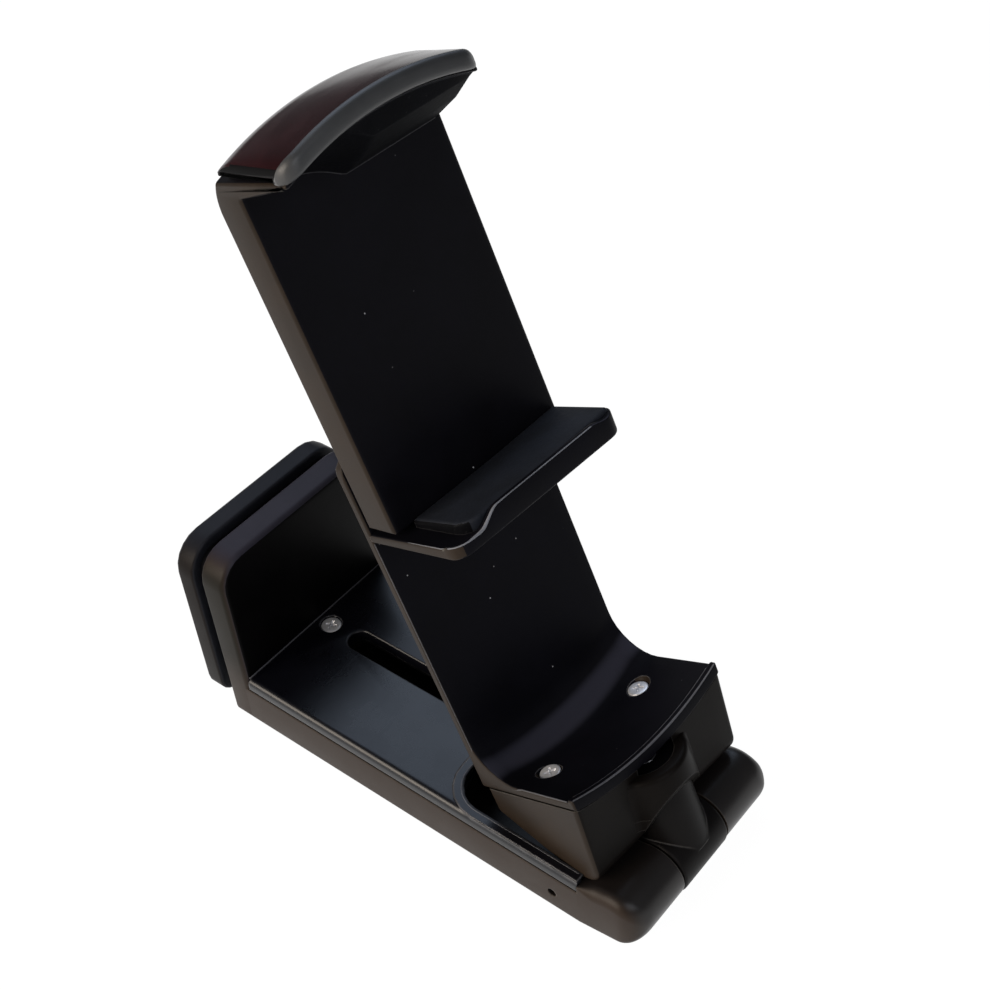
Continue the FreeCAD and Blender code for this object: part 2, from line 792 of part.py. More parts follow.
def lip_outline(depth):
    """Front lip of the ledge: full height in the middle, an easy S down to each end."""
    low = ledge_tip_top
    middle = (lip_full_half_width + lip_low_half_width) / 2
    mean = (low + lip_top) / 2
    lift = (lip_top - low) * 0.12
    quarter = (lip_low_half_width - lip_full_half_width) / 4

    def at(y, z):
        return Vector(depth, y, z)

    edges = [
        line(at(-arm_half_width, ledge_tip_bottom), at(arm_half_width, ledge_tip_bottom)),
        line(at(arm_half_width, ledge_tip_bottom), at(arm_half_width, low)),
        line(at(arm_half_width, low), at(lip_low_half_width, low)),
        line(at(-lip_full_half_width, lip_top), at(lip_full_half_width, lip_top)),
        line(at(-arm_half_width, low), at(-lip_low_half_width, low)),
        line(at(-arm_half_width, ledge_tip_bottom), at(-arm_half_width, low)),
    ]
    for side in (-1, 1):
        edges.append(arc(
            at(side * lip_low_half_width, low),
            at(side * (middle + quarter), low + lift),
            at(side * middle, mean)))
        edges.append(arc(
            at(side * middle, mean),
            at(side * (middle - quarter), lip_top - lift),
            at(side * lip_full_half_width, lip_top)))
    return Part.Face(wire_from(edges))


def make_ledge():
    slab = prism_y([
        (plate_front - overlap, ledge_root_bottom), (ledge_front, ledge_tip_bottom),
        (ledge_front, ledge_tip_top), (plate_front - overlap, ledge_root_top)], arm_half_width)
    lip = lip_outline(ledge_lip_back).extrude(Vector(lip_thickness, 0, 0))
    ledge = fused(slab, lip)
    corners = rounded_plate_z(
        plate_back, ledge_front, arm_half_width, ledge_root_bottom - 1, lip_top + 1, 0, ledge_corner)
    return ledge.common(corners)


def tongue_cut():
    low = guide_boss_height - guide_boss_radius - guide_slot_clearance
    high = guide_boss_height + phone_travel + guide_boss_radius + guide_slot_clearance
    width = guide_boss_radius + guide_slot_clearance
    ends = [
        cylinder_x(width, tongue_back - 1, tongue_front + 1, 0, z) for z in (low + width, high - width)]
    middle = wide_box(tongue_back - 1, tongue_front + 1, width, low + width, high - width)
    return middle.fuse(ends)


def make_back_plate():
    plate = rounded_plate_x(
        plate_back, plate_front, arm_half_width, plate_seam, plate_top, plate_corner, 0)
    shelf = swept_across(shelf_section(), shelf_low[1], shelf_arc_radius, arm_half_width, True)
    tongue = rounded_plate_x(
        tongue_back, tongue_front, tongue_half_width, ledge_root_bottom + overlap, tongue_top, 1.5, 0)
    posts = [
        box(tongue_back, tongue_front, side * phone_spring_y - spring_post_half_width,
            side * phone_spring_y + spring_post_half_width, ledge_root_bottom + overlap, spring_post_top)
        for side in (-1, 1)]
    body = fused(plate, shelf, make_ledge(), cut(tongue, tongue_cut()), *posts)
    pockets = []
    for side in (-1, 1):
        pocket = screw_pocket(
            shelf_screw_head_radius, shelf_screw_head_height, shelf_screw_radius,
            shelf_thickness + 2, screw_hole_clearance)
        pockets.append(shelf_screw_place(pocket, side))
    return turn_arm(cut(body, *pockets))


def make_shelf_screw(side):
    screw = flush_screw(
        shelf_screw_head_radius, shelf_screw_head_height, shelf_screw_radius, shelf_screw_length)
    return turn_arm(shelf_screw_place(screw, side))


def make_lower_jaw_pad():
    def ledge_top_at(depth):
        run = (depth - plate_front + overlap) / (ledge_front - plate_front + overlap)
        return ledge_root_top + (ledge_tip_top - ledge_root_top) * run

    front = ledge_lip_back
    pad = prism_y([
        (lower_pad_back, ledge_top_at(lower_pad_back)), (front, ledge_top_at(front)),
        (front, ledge_top_at(front) + lower_pad_height),
        (lower_pad_back, ledge_top_at(lower_pad_back) + lower_pad_height)],
        arm_half_width - lower_pad_inset)
    upper = edges_where(pad, lambda b, e: b.ZMin > ledge_top_at(lower_pad_back) + 0.5 * lower_pad_height
                        and b.XLength > 1 and b.YLength < 1e-6)
    return turn_arm(pad.makeFillet(lower_pad_round, upper))


# Sleeve and hood

def hood_section(cap):
    """Section of the hood: the outer cap, or the jaw body under it."""
    root = hood_underside_back - hood_root_drop
    back_low = Vector(sleeve_back, 0, root)
    back = Vector(sleeve_back, 0, hood_back_top)
    bend = hood_back_radius * math.sqrt(0.5)
    corner = Vector(hood_back_centre - bend, 0, hood_back_top + bend)
    top = Vector(hood_back_centre, 0, hood_top)
    front_top = Vector(hood_front - hood_front_bevel, 0, hood_front_top)
    front = Vector(hood_front, 0, hood_front_top - hood_front_bevel)
    under_back = Vector(sleeve_front, 0, hood_underside_back)
    panel_low = Vector(sleeve_front, 0, root)
    under_front = Vector(hood_front, 0, hood_underside_front)
    edges = [
        line(back_low, back), arc(back, corner, top), line(top, front_top),
        line(front_top, front), line(front, under_front), line(under_front, under_back),
        line(under_back, panel_low), line(panel_low, back_low),
    ]
    whole = Part.Face(wire_from(edges))
    lip_back = hood_front - hood_cap_lip
    far_back = sleeve_back - outside
    far_front = hood_front + outside
    high = hood_top + outside
    if cap:
        region = face_xz([
            (far_back, hood_cap_bottom), (lip_back, hood_cap_bottom), (lip_back, hood_lip_bottom),
            (far_front, hood_lip_bottom), (far_front, high), (far_back, high)], 0)
    else:
        region = face_xz([
            (far_back, root - outside), (lip_back - hood_fit, root - outside),
            (lip_back - hood_fit, hood_cap_bottom - hood_groove),
            (far_back, hood_cap_bottom - hood_groove)], 0)
    return whole.common(region).Faces[0]


def hood_core():
    """Part of the jaw body inside the parting groove, which carries the cap."""
    low = hood_cap_bottom - hood_groove - 1
    edge = math.sqrt(hood_back_radius ** 2 - (hood_cap_bottom - hood_back_top) ** 2)
    section = face_xz([
        (hood_back_centre - edge + hood_groove_depth, low), (hood_front - hood_cap_lip - hood_fit, low),
        (hood_front - hood_cap_lip - hood_fit, hood_cap_bottom),
        (hood_back_centre - edge + hood_groove_depth, hood_cap_bottom)], 0)
    return swept_across(section, hood_top, hood_arc_radius, arm_half_width - hood_groove_depth, False)


def make_front_panel():
    hood = swept_across(hood_section(False), hood_top, hood_arc_radius, arm_half_width, False)
    shaft_top = hood_underside_back - hood_root_drop / 2
    shaft = wide_box(sleeve_back, sleeve_front, arm_half_width, sleeve_bottom, shaft_top)
    long_edges = edges_where(
        shaft, lambda b, e: b.ZLength > 20 and close_to(b.XMin, sleeve_front))
    shaft = shaft.makeFillet(sleeve_edge_round, long_edges)
    body = fused(shaft, hood, hood_core())
    inner = arm_half_width - sleeve_wall
    back_recess = wide_box(
        sleeve_back - 1, sleeve_back + sleeve_back_thickness, inner, sleeve_bottom - 1, sleeve_back_top)
    cavity = wide_box(
        sleeve_back, sleeve_front - sleeve_wall, inner, sleeve_bottom - 1, sleeve_cavity_top)
    body = cut(body, back_recess, cavity)
    boss = cylinder_x(
        guide_boss_radius, sleeve_back + sleeve_back_thickness, sleeve_front - 1, 0, guide_boss_height)
    lugs = []
    for side in (-1, 1):
        lugs.append(box(
            sleeve_back + sleeve_back_thickness, sleeve_front - 1,
            side * phone_spring_y - spring_post_half_width, side * phone_spring_y + spring_post_half_width,
            sleeve_cavity_top - spring_lug_height, sleeve_cavity_top + 1))
    body = fused(body, boss, *lugs)
    pilots = [
        sleeve_screw_place(cylinder_z(sleeve_screw_radius, -sleeve_screw_length, outside, 0, 0), *spot)
        for spot in sleeve_screw_spots()]
    return turn_arm(cut(body, *pilots))


def make_hood_cap():
    cap = swept_across(hood_section(True), hood_top, hood_arc_radius, arm_half_width, False)
    return turn_arm(cap)


def sleeve_screw_spots():
    return [
        (0, guide_boss_height), (-sleeve_screw_y, sleeve_screw_height), (sleeve_screw_y, sleeve_screw_height)]


def sleeve_screw_place(shape, y, height):
    """Turn a screw or its cutter to face the rear and move it to its seat."""
    placed = shape.copy()
    placed.rotate(Vector(0, 0, 0), Vector(0, 1, 0), -90)
    placed.translate(Vector(sleeve_back, y, height))
    return placed


def make_sleeve_back():
    inner = arm_half_width - sleeve_wall - sleeve_fit
    sheet = rounded_plate_x(
        sleeve_back, sleeve_back + sleeve_back_thickness, inner,
        sleeve_bottom + sleeve_fit, sleeve_back_top - sleeve_fit, 0, 0)
    pockets = []
    for spot in sleeve_screw_spots():
        pocket = screw_pocket(
            sleeve_screw_head_radius, sleeve_screw_head_height, sleeve_screw_radius,
            sleeve_back_thickness + 1, screw_hole_clearance)
        pockets.append(sleeve_screw_place(pocket, *spot))
    return turn_arm(cut(sheet, *pockets))


def make_sleeve_screw(spot):
    length = sleeve_back_thickness + sleeve_screw_length - 1.6
    screw = flush_screw(
        sleeve_screw_head_radius, sleeve_screw_head_height, sleeve_screw_radius, length)
    return turn_arm(sleeve_screw_place(screw, *spot))


def make_upper_jaw_pad():
    """Wedge in the corner under the hood: its top follows the hood, its sloping face is flat."""
    rise = (hood_underside_front - hood_underside_back) / (hood_front - sleeve_front)
    tip = hood_front - hood_cap_lip - upper_pad_front_gap
    low = upper_pad_foot - outside
    section = face_xz([
        (sleeve_front, low), (tip, low), (tip, hood_underside_back + rise * (tip - sleeve_front)),
        (sleeve_front, hood_underside_back)], 0)
    under_hood = swept_across(section, hood_top, hood_arc_radius, arm_half_width - upper_pad_inset, False)
    behind = sleeve_front - overlap
    ahead = tip + overlap
    below = prism_y([
        (behind, low - outside), (ahead, low - outside),
        (ahead, upper_pad_foot + upper_pad_slope * (ahead - sleeve_front)),
        (behind, upper_pad_foot + upper_pad_slope * (behind - sleeve_front))], half)
    return turn_arm(cut(under_hood, below))


def make_phone_spring(side):
    depth = (tongue_back + tongue_front) / 2

    def place(across, forward, run):
        return Vector(depth + forward, side * phone_spring_y + across, spring_post_top + run)

    length = sleeve_cavity_top - spring_lug_height - spring_post_top
    return turn_arm(coil_spring(
        phone_spring_radius, phone_spring_wire, length, phone_spring_turns, place))


parts = {
    "base_shell": make_base_shell(),
    "base_cover": make_base_cover(),
    "cover_screw": make_cover_screw(),
    "wall_pad": make_wall_pad(),
    "tray_jaw": make_tray_jaw(),
    "tray_jaw_pad": make_tray_jaw_pad(),
    "jaw_guide_stud": make_jaw_guide_stud(),
    "tray_spring_near": make_tray_spring(-1),
    "tray_spring_far": make_tray_spring(1),
    "spring_rod_near": make_spring_rod(-1),
    "spring_rod_far": make_spring_rod(1),
    "hinge_pin": make_hinge_pin(),
    "hinge_cap": make_hinge_cap(),
    "hinge_washer_near": make_hinge_washer(-1),
    "hinge_washer_far": make_hinge_washer(1),
    "swivel_post": make_swivel_post(),
    "swivel_washer": make_swivel_washer(),
    "swivel_disc": make_swivel_disc(),
    "swivel_screw": make_swivel_screw(),
    "swivel_housing": make_swivel_housing(),
    "back_plate": make_back_plate(),
    "shelf_screw_near": make_shelf_screw(-1),
    "shelf_screw_far": make_shelf_screw(1),
    "lower_jaw_pad": make_lower_jaw_pad(),
    "front_panel": make_front_panel(),
    "hood_cap": make_hood_cap(),
    "upper_jaw_pad": make_upper_jaw_pad(),
    "sleeve_back": make_sleeve_back(),
    "sleeve_guide_screw": make_sleeve_screw(sleeve_screw_spots()[0]),
    "sleeve_screw_near": make_sleeve_screw(sleeve_screw_spots()[1]),
    "sleeve_screw_far": make_sleeve_screw(sleeve_screw_spots()[2]),
    "phone_spring_near": make_phone_spring(-1),
    "phone_spring_far": make_phone_spring(1),
}

for name, shape in parts.items():
    shape.exportStep("parts/" + name + ".step")
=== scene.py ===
import math

import bmesh
import bpy
from mathutils import Matrix, Vector


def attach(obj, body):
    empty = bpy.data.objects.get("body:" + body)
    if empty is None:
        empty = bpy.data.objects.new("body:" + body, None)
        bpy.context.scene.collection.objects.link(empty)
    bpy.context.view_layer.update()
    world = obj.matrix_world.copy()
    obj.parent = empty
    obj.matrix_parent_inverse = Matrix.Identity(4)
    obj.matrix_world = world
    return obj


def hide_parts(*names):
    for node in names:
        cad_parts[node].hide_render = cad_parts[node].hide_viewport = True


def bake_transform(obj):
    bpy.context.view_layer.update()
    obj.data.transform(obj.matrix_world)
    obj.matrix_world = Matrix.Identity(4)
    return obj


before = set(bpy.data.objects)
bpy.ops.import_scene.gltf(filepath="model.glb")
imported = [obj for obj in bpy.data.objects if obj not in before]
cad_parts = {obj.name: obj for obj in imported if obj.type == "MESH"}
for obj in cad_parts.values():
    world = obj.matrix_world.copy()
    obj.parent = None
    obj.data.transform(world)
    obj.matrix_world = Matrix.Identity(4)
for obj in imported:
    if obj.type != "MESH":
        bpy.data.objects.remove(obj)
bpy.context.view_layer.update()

# Folding phone holder: a spring clamp as the base, and an arm on a hinge and a swivel.
# Lengths are written in millimetres and angles in degrees, and become metres when a piece is made.
# In the arm's own frame, depth runs forward from the swivel's axis and height up from the hinge's axis.

MM = 0.001

# Base and table clamp
base_half = 20.0
base_height = 12.4
shell_top = 9.4
shell_floor = 1.8
cover_bottom = 9.8
cover_end = 77.3
wall_thickness = 6.0
wall_height = 41.3
window_start = 48.0
window_half = 18.3
window_round = 6.5
slot_start = 8.5
slot_end = 41.9
slot_half = 2.4
tray_spring_y = 14.4
tray_spring_z = 4.6

# Hinge and swivel
hinge_x = 84.2
hinge_z = 6.9
knuckle_radius = 5.7
knuckle_inner = 6.7
knuckle_ramp_start = 11.05
hinge_cap_start = 18.5
neck_radius = 5.9
barrel_radius = 7.6
barrel_top = 20.0
arm_lean = 20.5
swivel_turn = 5.0

# Housing and shelf
arm_half = 18.4
housing_back = -20.6
housing_face_low = (1.4, 8.2)
housing_face_run = (1.9, 14.8)
shelf_arc = 58.0
shelf_low = (-14.0, 20.4)
shelf_slope = 0.1543
shelf_thickness = 1.8
shelf_front = 3.5
shelf_screw_depth = -10.8
shelf_screw_y = 11.5

# Back plate, ledge and pad
plate_front = -20.0
plate_back = -21.8
plate_top = 88.0
tongue_back = -17.3
tongue_front = -14.5
ledge_root = -20.5
ledge_front = 2.6
pad_middle = 1.55
pad_reach = 16.25

# Sleeve and hood
panel_back = -19.5
panel_front = -12.3
panel_low = 75.0
dome_arc = 56.0
hood_back_centre = (-11.5, 131.9)
hood_back_radius = 8.0
cap_low = 136.5
cap_seam = 138.7
sleeve_spring_y = 14.2
sleeve_screws = [(0.0, 84.0), (-9.0, 127.2), (9.0, 127.2)]


# Frames

def in_base(x, y, z):
    return Vector((x, y, z)) * MM


def in_post(depth, y, height):
    """The arm's frame below the swivel: it leans back about the hinge."""
    lean = math.radians(arm_lean)
    x = hinge_x - math.sin(lean) * height + math.cos(lean) * depth
    z = hinge_z + math.cos(lean) * height + math.sin(lean) * depth
    return Vector((x, y, z)) * MM


def in_arm(depth, y, height):
    """The arm's frame above the swivel: it is turned a little as well."""
    turn = math.radians(swivel_turn)
    return in_post(
        depth * math.cos(turn) + y * math.sin(turn), -depth * math.sin(turn) + y * math.cos(turn), height)


# Outlines and closed forms

def crosswise(a, b):
    return a.x * b.y - a.y * b.x


def outline(corners, inset=0.0, weights=None, steps=5):
    """Points round a polygon with rounded corners, given anticlockwise as (a, b, radius).

    Each side is moved inwards by the inset times its weight."""
    count = len(corners)
    weights = weights or [1.0] * count
    sides = []
    for i in range(count):
        start = Vector(corners[i][:2])
        run = (Vector(corners[(i + 1) % count][:2]) - start).normalized()
        sides.append((start + Vector((-run.y, run.x)) * inset * weights[i], run))
    points = []
    for i in range(count):
        start, before = sides[i - 1]
        other, after = sides[i]
        turn_size = crosswise(before, after)
        if abs(turn_size) < 1e-6:
            corner = other
        else:
            corner = start + before * (crosswise(other - start, after) / turn_size)
        radius = corners[i][2] if len(corners[i]) > 2 else 0
        if not radius:
            points.append(corner)
            continue
        turn = math.atan2(turn_size, before.dot(after))
        side = 1 if turn > 0 else -1
        radius = max(radius - side * inset, 0.05)
        first = corner - before * radius * math.tan(abs(turn) / 2)
        centre = first + Vector((-before.y, before.x)) * radius * side
        spoke = first - centre
        for step in range(steps + 1):
            angle = turn * step / steps
            points.append(centre + Vector((
                spoke.x * math.cos(angle) - spoke.y * math.sin(angle),
                spoke.x * math.sin(angle) + spoke.y * math.cos(angle))))
    return points


def rectangle(a0, a1, b0, b1, low_round=0.0, high_round=None):
    """Corners of a rectangle, whose upper two may have a rounding of their own."""
    high_round = low_round if high_round is None else high_round
    return [(a0, b0, low_round), (a1, b0, low_round), (a1, b1, high_round), (a0, b1, high_round)]


def slot_corners(start, end, half):
    """A slot with full round ends, along the first direction."""
    return rectangle(start, end, -half, half, half - 0.01)


def circle(radius, count=48):
    return [
        Vector((radius * math.cos(2 * math.pi * i / count), radius * math.sin(2 * math.pi * i / count)))
        for i in range(count)]


def bow(centre, radius, first, last, steps=8):
    """Points of an arc as plain corners, from one angle to another."""
    points = []
    for i in range(steps + 1):
        angle = math.radians(first + (last - first) * i / steps)
        points.append((centre[0] + radius * math.cos(angle), centre[1] + radius * math.sin(angle)))
    return points


def layers(low, high, round_low, round_high, between=0, steps=5):
    """Places through a thickness, each with how far the outline draws in there for rounded edges."""
    places = []
    for i in range(steps + 1):
        angle = math.pi / 2 * i / steps
        places.append((low + round_low * (1 - math.sin(angle)), round_low * (1 - math.cos(angle))))
    places.reverse()
    for i in range(1, between + 1):
        share = i / (between + 1)
        places.append((low + round_low + (high - round_high - low - round_low) * share, 0.0))
    for i in range(steps + 1):
        angle = math.pi / 2 * i / steps
        places.append((high - round_high * (1 - math.sin(angle)), round_high * (1 - math.cos(angle))))
    kept = []
    for place in places:
        if not kept or place[0] - kept[-1][0] > 1e-5:
            kept.append(place)
    return kept


def across(half_width, edge, between=9, steps=5):
    return layers(-half_width, half_width, edge, edge, between, steps)


def skin(rings):
    """A closed form through rings that have equal numbers of points."""
    count = len(rings[0])
    points = [point for ring in rings for point in ring]
    faces = []
    for i in range(len(rings) - 1):
        for j in range(count):
            k = (j + 1) % count
            faces.append((i * count + j, i * count + k, (i + 1) * count + k, (i + 1) * count + j))
    faces.append(tuple(reversed(range(count))))
    faces.append(tuple(range((len(rings) - 1) * count, len(rings) * count)))
    return points, faces


def joined(*forms):
    points = []
    faces = []
    for form_points, form_faces in forms:
        start = len(points)
        points.extend(form_points)
        faces.extend(tuple(start + i for i in face) for face in form_faces)
    return points, faces


def swept(section, places, to_frame):
    """Rings across the width; section gives the outline in depth and height at a place and inset."""
    return skin([[to_frame(p[0], y, p[1]) for p in section(y, inset)] for y, inset in places])


def plate_x(corners, places, to_frame):
    return skin([[to_frame(x, p[0], p[1]) for p in outline(corners, inset)] for x, inset in places])


def plate_z(corners, places, to_frame):
    return skin([[to_frame(p[0], p[1], z) for p in outline(corners, inset)] for z, inset in places])


def turned(profile, to_frame, count=48):
    """A form turned about an axis; the profile gives places along the axis and radii."""
    return skin([[to_frame(along, p.x, p.y) for p in circle(radius, count)] for along, radius in profile])


def block(x0, x1, y0, y1, z0, z1, to_frame, edge=0.0):
    return plate_z(
        rectangle(x0, x1, y0, y1, edge), layers(z0, z1, edge, edge, 0, 3 if edge else 1), to_frame)


def along_y(to_frame, x, z):
    return lambda along, a, b: to_frame(x + b, along, z + a)


def along_z(to_frame, x, y):
    return lambda along, a, b: to_frame(x + a, y + b, along)


# Objects

def raw_object(name, form):
    points, faces = form
    mesh = bpy.data.meshes.new(name)
    mesh.from_pydata([tuple(p) for p in points], [], faces)
    shape = bmesh.new()
    shape.from_mesh(mesh)
    bmesh.ops.remove_doubles(shape, verts=shape.verts, dist=2e-7)
    bmesh.ops.recalc_face_normals(shape, faces=shape.faces)
    shape.to_mesh(mesh)
    shape.free()
    made = bpy.data.objects.new(name, mesh)
    bpy.context.scene.collection.objects.link(made)
    return made


def discard(made):
    mesh = made.data
    bpy.data.objects.remove(made)
    bpy.data.meshes.remove(mesh)


def piece(name, form, cutters=(), added=(), smooth=32):
    """An object from a closed form, with the cutters taken away and other forms joined on after."""
    made = raw_object(name, form)
    tools = [raw_object("tool", cutter) for cutter in cutters]
    for tool in tools:
        change = made.modifiers.new("cut", "BOOLEAN")
        change.operation = "DIFFERENCE"
        change.solver = "EXACT"
        change.object = tool
    if tools:
        bpy.context.view_layer.update()
        shown = made.evaluated_get(bpy.context.evaluated_depsgraph_get())
        mesh = bpy.data.meshes.new_from_object(shown)
        made.modifiers.clear()
        old = made.data
        made.data = mesh
        mesh.name = name
        bpy.data.meshes.remove(old)
    for tool in tools:
        discard(tool)
    if added:
        extra = raw_object("extra", joined(*added))
        shape = bmesh.new()
        shape.from_mesh(made.data)
        shape.from_mesh(extra.data)
        shape.to_mesh(made.data)
        shape.free()
        discard(extra)
    made.data.polygons.foreach_set("use_smooth", [True] * len(made.data.polygons))
    made.data.set_sharp_from_angle(angle=math.radians(smooth))
    return made


def paint_light_and_shade(made, material, chosen):
    """Give the faces that are chosen by their middle and direction a second material, which paints light and
    shade on them.
    """
    made.data.materials.append(material)
    index = len(made.data.materials) - 1
    for face in made.data.polygons:
        if chosen(face.center, face.normal):
            face.material_index = index
    return made


# Faces turned to either side, which take the painted side light.
def at_sides(middle, direction):
    return abs(direction.y) > 0.6


def fitted(made, body, material, slot, *nodes):
    """Put a piece on its body, give it its finish, and let it stand for its solids."""
    made.data.materials.clear()
    made.data.materials.append(material)
    if body:
        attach(made, body)
    if nodes:
        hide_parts(*nodes)
    return made


def satin(made, body, material, *nodes):
    return fitted(made, body, material, "satin_black_plastic", *nodes)


# Shading

near_side = (0.0, -1.0, 0.0)
fillet_way = tuple((in_arm(0.8, 0.0, 1.0) - in_arm(0.0, 0.0, 0.0)).normalized())
# Painted light: the warm brown that faces turned to the near side take.
near_side_painted_light = (0.0265, 0.0175, 0.0120)
dust_colour = (0.55, 0.55, 0.56)
all_heights = -40.0
band_fade = 14.0
coat_fade = 2.5


class Socket:
    """An output of a node; sums and products written with it become Math nodes."""

    def __init__(self, nodes, socket):
        self.nodes = nodes
        self.socket = socket

    def math(self, operation, *terms):
        return self.nodes.add("ShaderNodeMath", {"operation": operation}, terms)

    def __add__(self, other):
        return self.math("ADD", self, other)

    def __mul__(self, other):
        return self.math("MULTIPLY", self, other)


class Nodes:
    """The nodes of one material or of the world."""

    def __init__(self, owner):
        owner.use_nodes = True
        self.tree = owner.node_tree
        self.tree.nodes.clear()

    def add(self, kind, settings=(), inputs=(), out=0):
        node = self.tree.nodes.new(kind)
        for key, value in dict(settings).items():
            setattr(node, key, value)
        pairs = inputs.items() if isinstance(inputs, dict) else enumerate(inputs)
        for key, value in pairs:
            if isinstance(value, Socket):
                self.tree.links.new(value.socket, node.inputs[key])
            else:
                node.inputs[key].default_value = value
        return Socket(self, node.outputs[out])

    def rays(self, kind):
        return self.add("ShaderNodeLightPath", out=kind)

    def put_out(self, kind, shader):
        node = self.tree.nodes.new(kind)
        self.tree.links.new(shader.socket, node.inputs["Surface"])


class Finish(Nodes):
    """The nodes of one material, with the parts that its look is put together from."""

    def __init__(self, name):
        self.material = bpy.data.materials.new(name)
        super().__init__(self.material)

    def places(self, scale=(1, 1, 1)):
        spot = self.add("ShaderNodeTexCoord", out="Object")
        return self.add("ShaderNodeMapping", {}, {"Vector": spot, "Scale": scale})

    def noise(self, scale, detail=3.0, roughness=0.55, stretch=(1, 1, 1)):
        return self.add("ShaderNodeTexNoise", {}, {
            "Vector": self.places(stretch), "Scale": scale, "Detail": detail, "Roughness": roughness})

    def ramp(self, value, low, high, to_low=0.0, to_high=1.0):
        return self.add("ShaderNodeMapRange", {"interpolation_type": "SMOOTHSTEP"}, {
            "Value": value, "From Min": low, "From Max": high, "To Min": to_low, "To Max": to_high})

    def blend(self, share, first, second):
        return self.add("ShaderNodeMix", {"data_type": "RGBA"}, {0: share, 6: first, 7: second}, 2)

    def rounded(self, radius):
        return self.add("ShaderNodeBevel", {"samples": 6}, {"Radius": radius * MM})

    def facing(self, axis):
        """How far the surface turns towards a direction of the part's own frame."""
        normal = self.add("ShaderNodeTexCoord", out="Normal")
        return self.add("ShaderNodeVectorMath", {"operation": "DOT_PRODUCT"}, {0: normal, 1: axis}, "Value")

    def edges(self, soft):
        """How much a place lies on an edge, by how far the softened surface turns from the true one."""
        flat = self.add("ShaderNodeNewGeometry", out="Normal")
        alike = self.add("ShaderNodeVectorMath", {"operation": "DOT_PRODUCT"}, {0: soft, 1: flat}, "Value")
        return self.ramp(alike, 0.998, 0.93)

    def surface(self, inputs):
        self.put_out("ShaderNodeOutputMaterial", self.add("ShaderNodeBsdfPrincipled", {}, inputs))
        return self.material


def opaque(colour, share=1.0):
    """A colour with full alpha, darkened or lightened by a share."""
    return tuple(c * share for c in colour) + (1.0,)


def moulded_plastic(name, colour, wear_and_highlight, roughness=0.42, specular=0.10, grain=0.35, dust=0.0, soft=0.35, rub=0.6,
                    painted_light_bands=(), coat_from=None):
    """Moulded plastic: a fine grain, faint cloudiness, edges lightened by wear and by a painted edge highlight,
    hairline scratches and dust.

    Each band paints light and shade by the way a face turns: it is (direction, low, high, colour, start
    height), and faces that turn towards the direction, between the low and high share, take the colour from
    the start height up. A coat begins at coat_from along the part."""
    finish = Finish(name)
    clouds = finish.noise(90.0, 4.0)
    grain_height = finish.noise(5200.0, 2.0, 0.6)
    pores = finish.noise(1500.0, 3.0, 0.6)
    scratches = finish.ramp(finish.noise(900.0, 2.0, 0.5, (1.0, 0.06, 0.3)), 0.66, 0.72)
    round_normal = finish.rounded(soft)
    # This edge mask marks wear and the painted edge highlight together.
    rubbed = finish.edges(round_normal) * finish.ramp(finish.noise(420.0, 3.0), 0.25, 0.7, 0.35, 1.0)
    tone = finish.ramp(clouds, 0.3, 0.7)
    base = finish.blend(tone, opaque(colour, 0.82), opaque(colour, 1.18))
    # Painted light and shade: faces turned towards a band's direction take its colour.
    for axis, low, high, painted_light_colour, start_height in painted_light_bands:
        height = finish.add("ShaderNodeSeparateXYZ", {}, {0: finish.places()}, "Z")
        share = finish.ramp(height, start_height * MM, (start_height + band_fade) * MM)
        share = share * finish.ramp(finish.facing(axis), low, high)
        base = finish.blend(share, base, opaque(painted_light_colour))
    # Edges lighten towards this colour, partly as wear and partly as a painted edge highlight.
    base = finish.blend(rubbed * rub, base, opaque(wear_and_highlight))
    if dust:
        cells = finish.add("ShaderNodeTexVoronoi", {}, {"Vector": finish.places(), "Scale": 420.0})
        specks = finish.ramp(cells, 0.06, 0.04) * finish.ramp(finish.noise(120.0), 0.54, 0.60)
        base = finish.blend(specks * dust, base, opaque(dust_colour))
    wear = rubbed * -0.10 + scratches * 0.02 + tone * 0.06 + pores * 0.04
    height = grain_height * 0.7 + pores * 0.3
    normal = finish.add("ShaderNodeBump", {}, {
        "Strength": grain, "Distance": 0.04 * MM, "Height": height, "Normal": round_normal})
    inputs = {
        "Base Color": base, "Roughness": wear + (roughness - 0.05), "Specular IOR Level": specular,
        "Normal": normal}
    if coat_from:
        along = finish.add("ShaderNodeSeparateXYZ", {}, {0: finish.places()}, "X")
        beyond = finish.ramp(along, coat_from * MM, (coat_from + coat_fade) * MM)
        inputs["Coat Weight"] = beyond * finish.ramp(finish.facing(near_side), 0.8, 0.1) * 0.35
        inputs["Coat Roughness"] = 0.32
    return finish.surface(inputs)


def glossy_plastic(name, colour):
    """Polished plastic with faint ripples, wipe marks and rubbed edges."""
    finish = Finish(name)
    round_normal = finish.rounded(0.4)
    rubbed = finish.edges(round_normal)
    smear = finish.ramp(finish.noise(140.0, 4.0, 0.6, (1.0, 0.4, 1.0)), 0.42, 0.7)
    ripple = finish.noise(110.0, 2.0)
    fine = finish.noise(3000.0, 2.0)
    base = finish.blend(smear, opaque(colour), opaque(colour, 1.5))
    base = finish.blend(rubbed * 0.45, base, (0.16, 0.16, 0.165, 1.0))
    normal = finish.add("ShaderNodeBump", {}, {
        "Strength": 0.25, "Distance": 0.2 * MM, "Height": ripple + fine * 0.05, "Normal": round_normal})
    return finish.surface({
        "Base Color": base, "Roughness": smear * 0.10 + rubbed * 0.12 + 0.16,
        "Specular IOR Level": 0.09, "Coat Weight": 0.06, "Coat Roughness": 0.12, "Normal": normal})


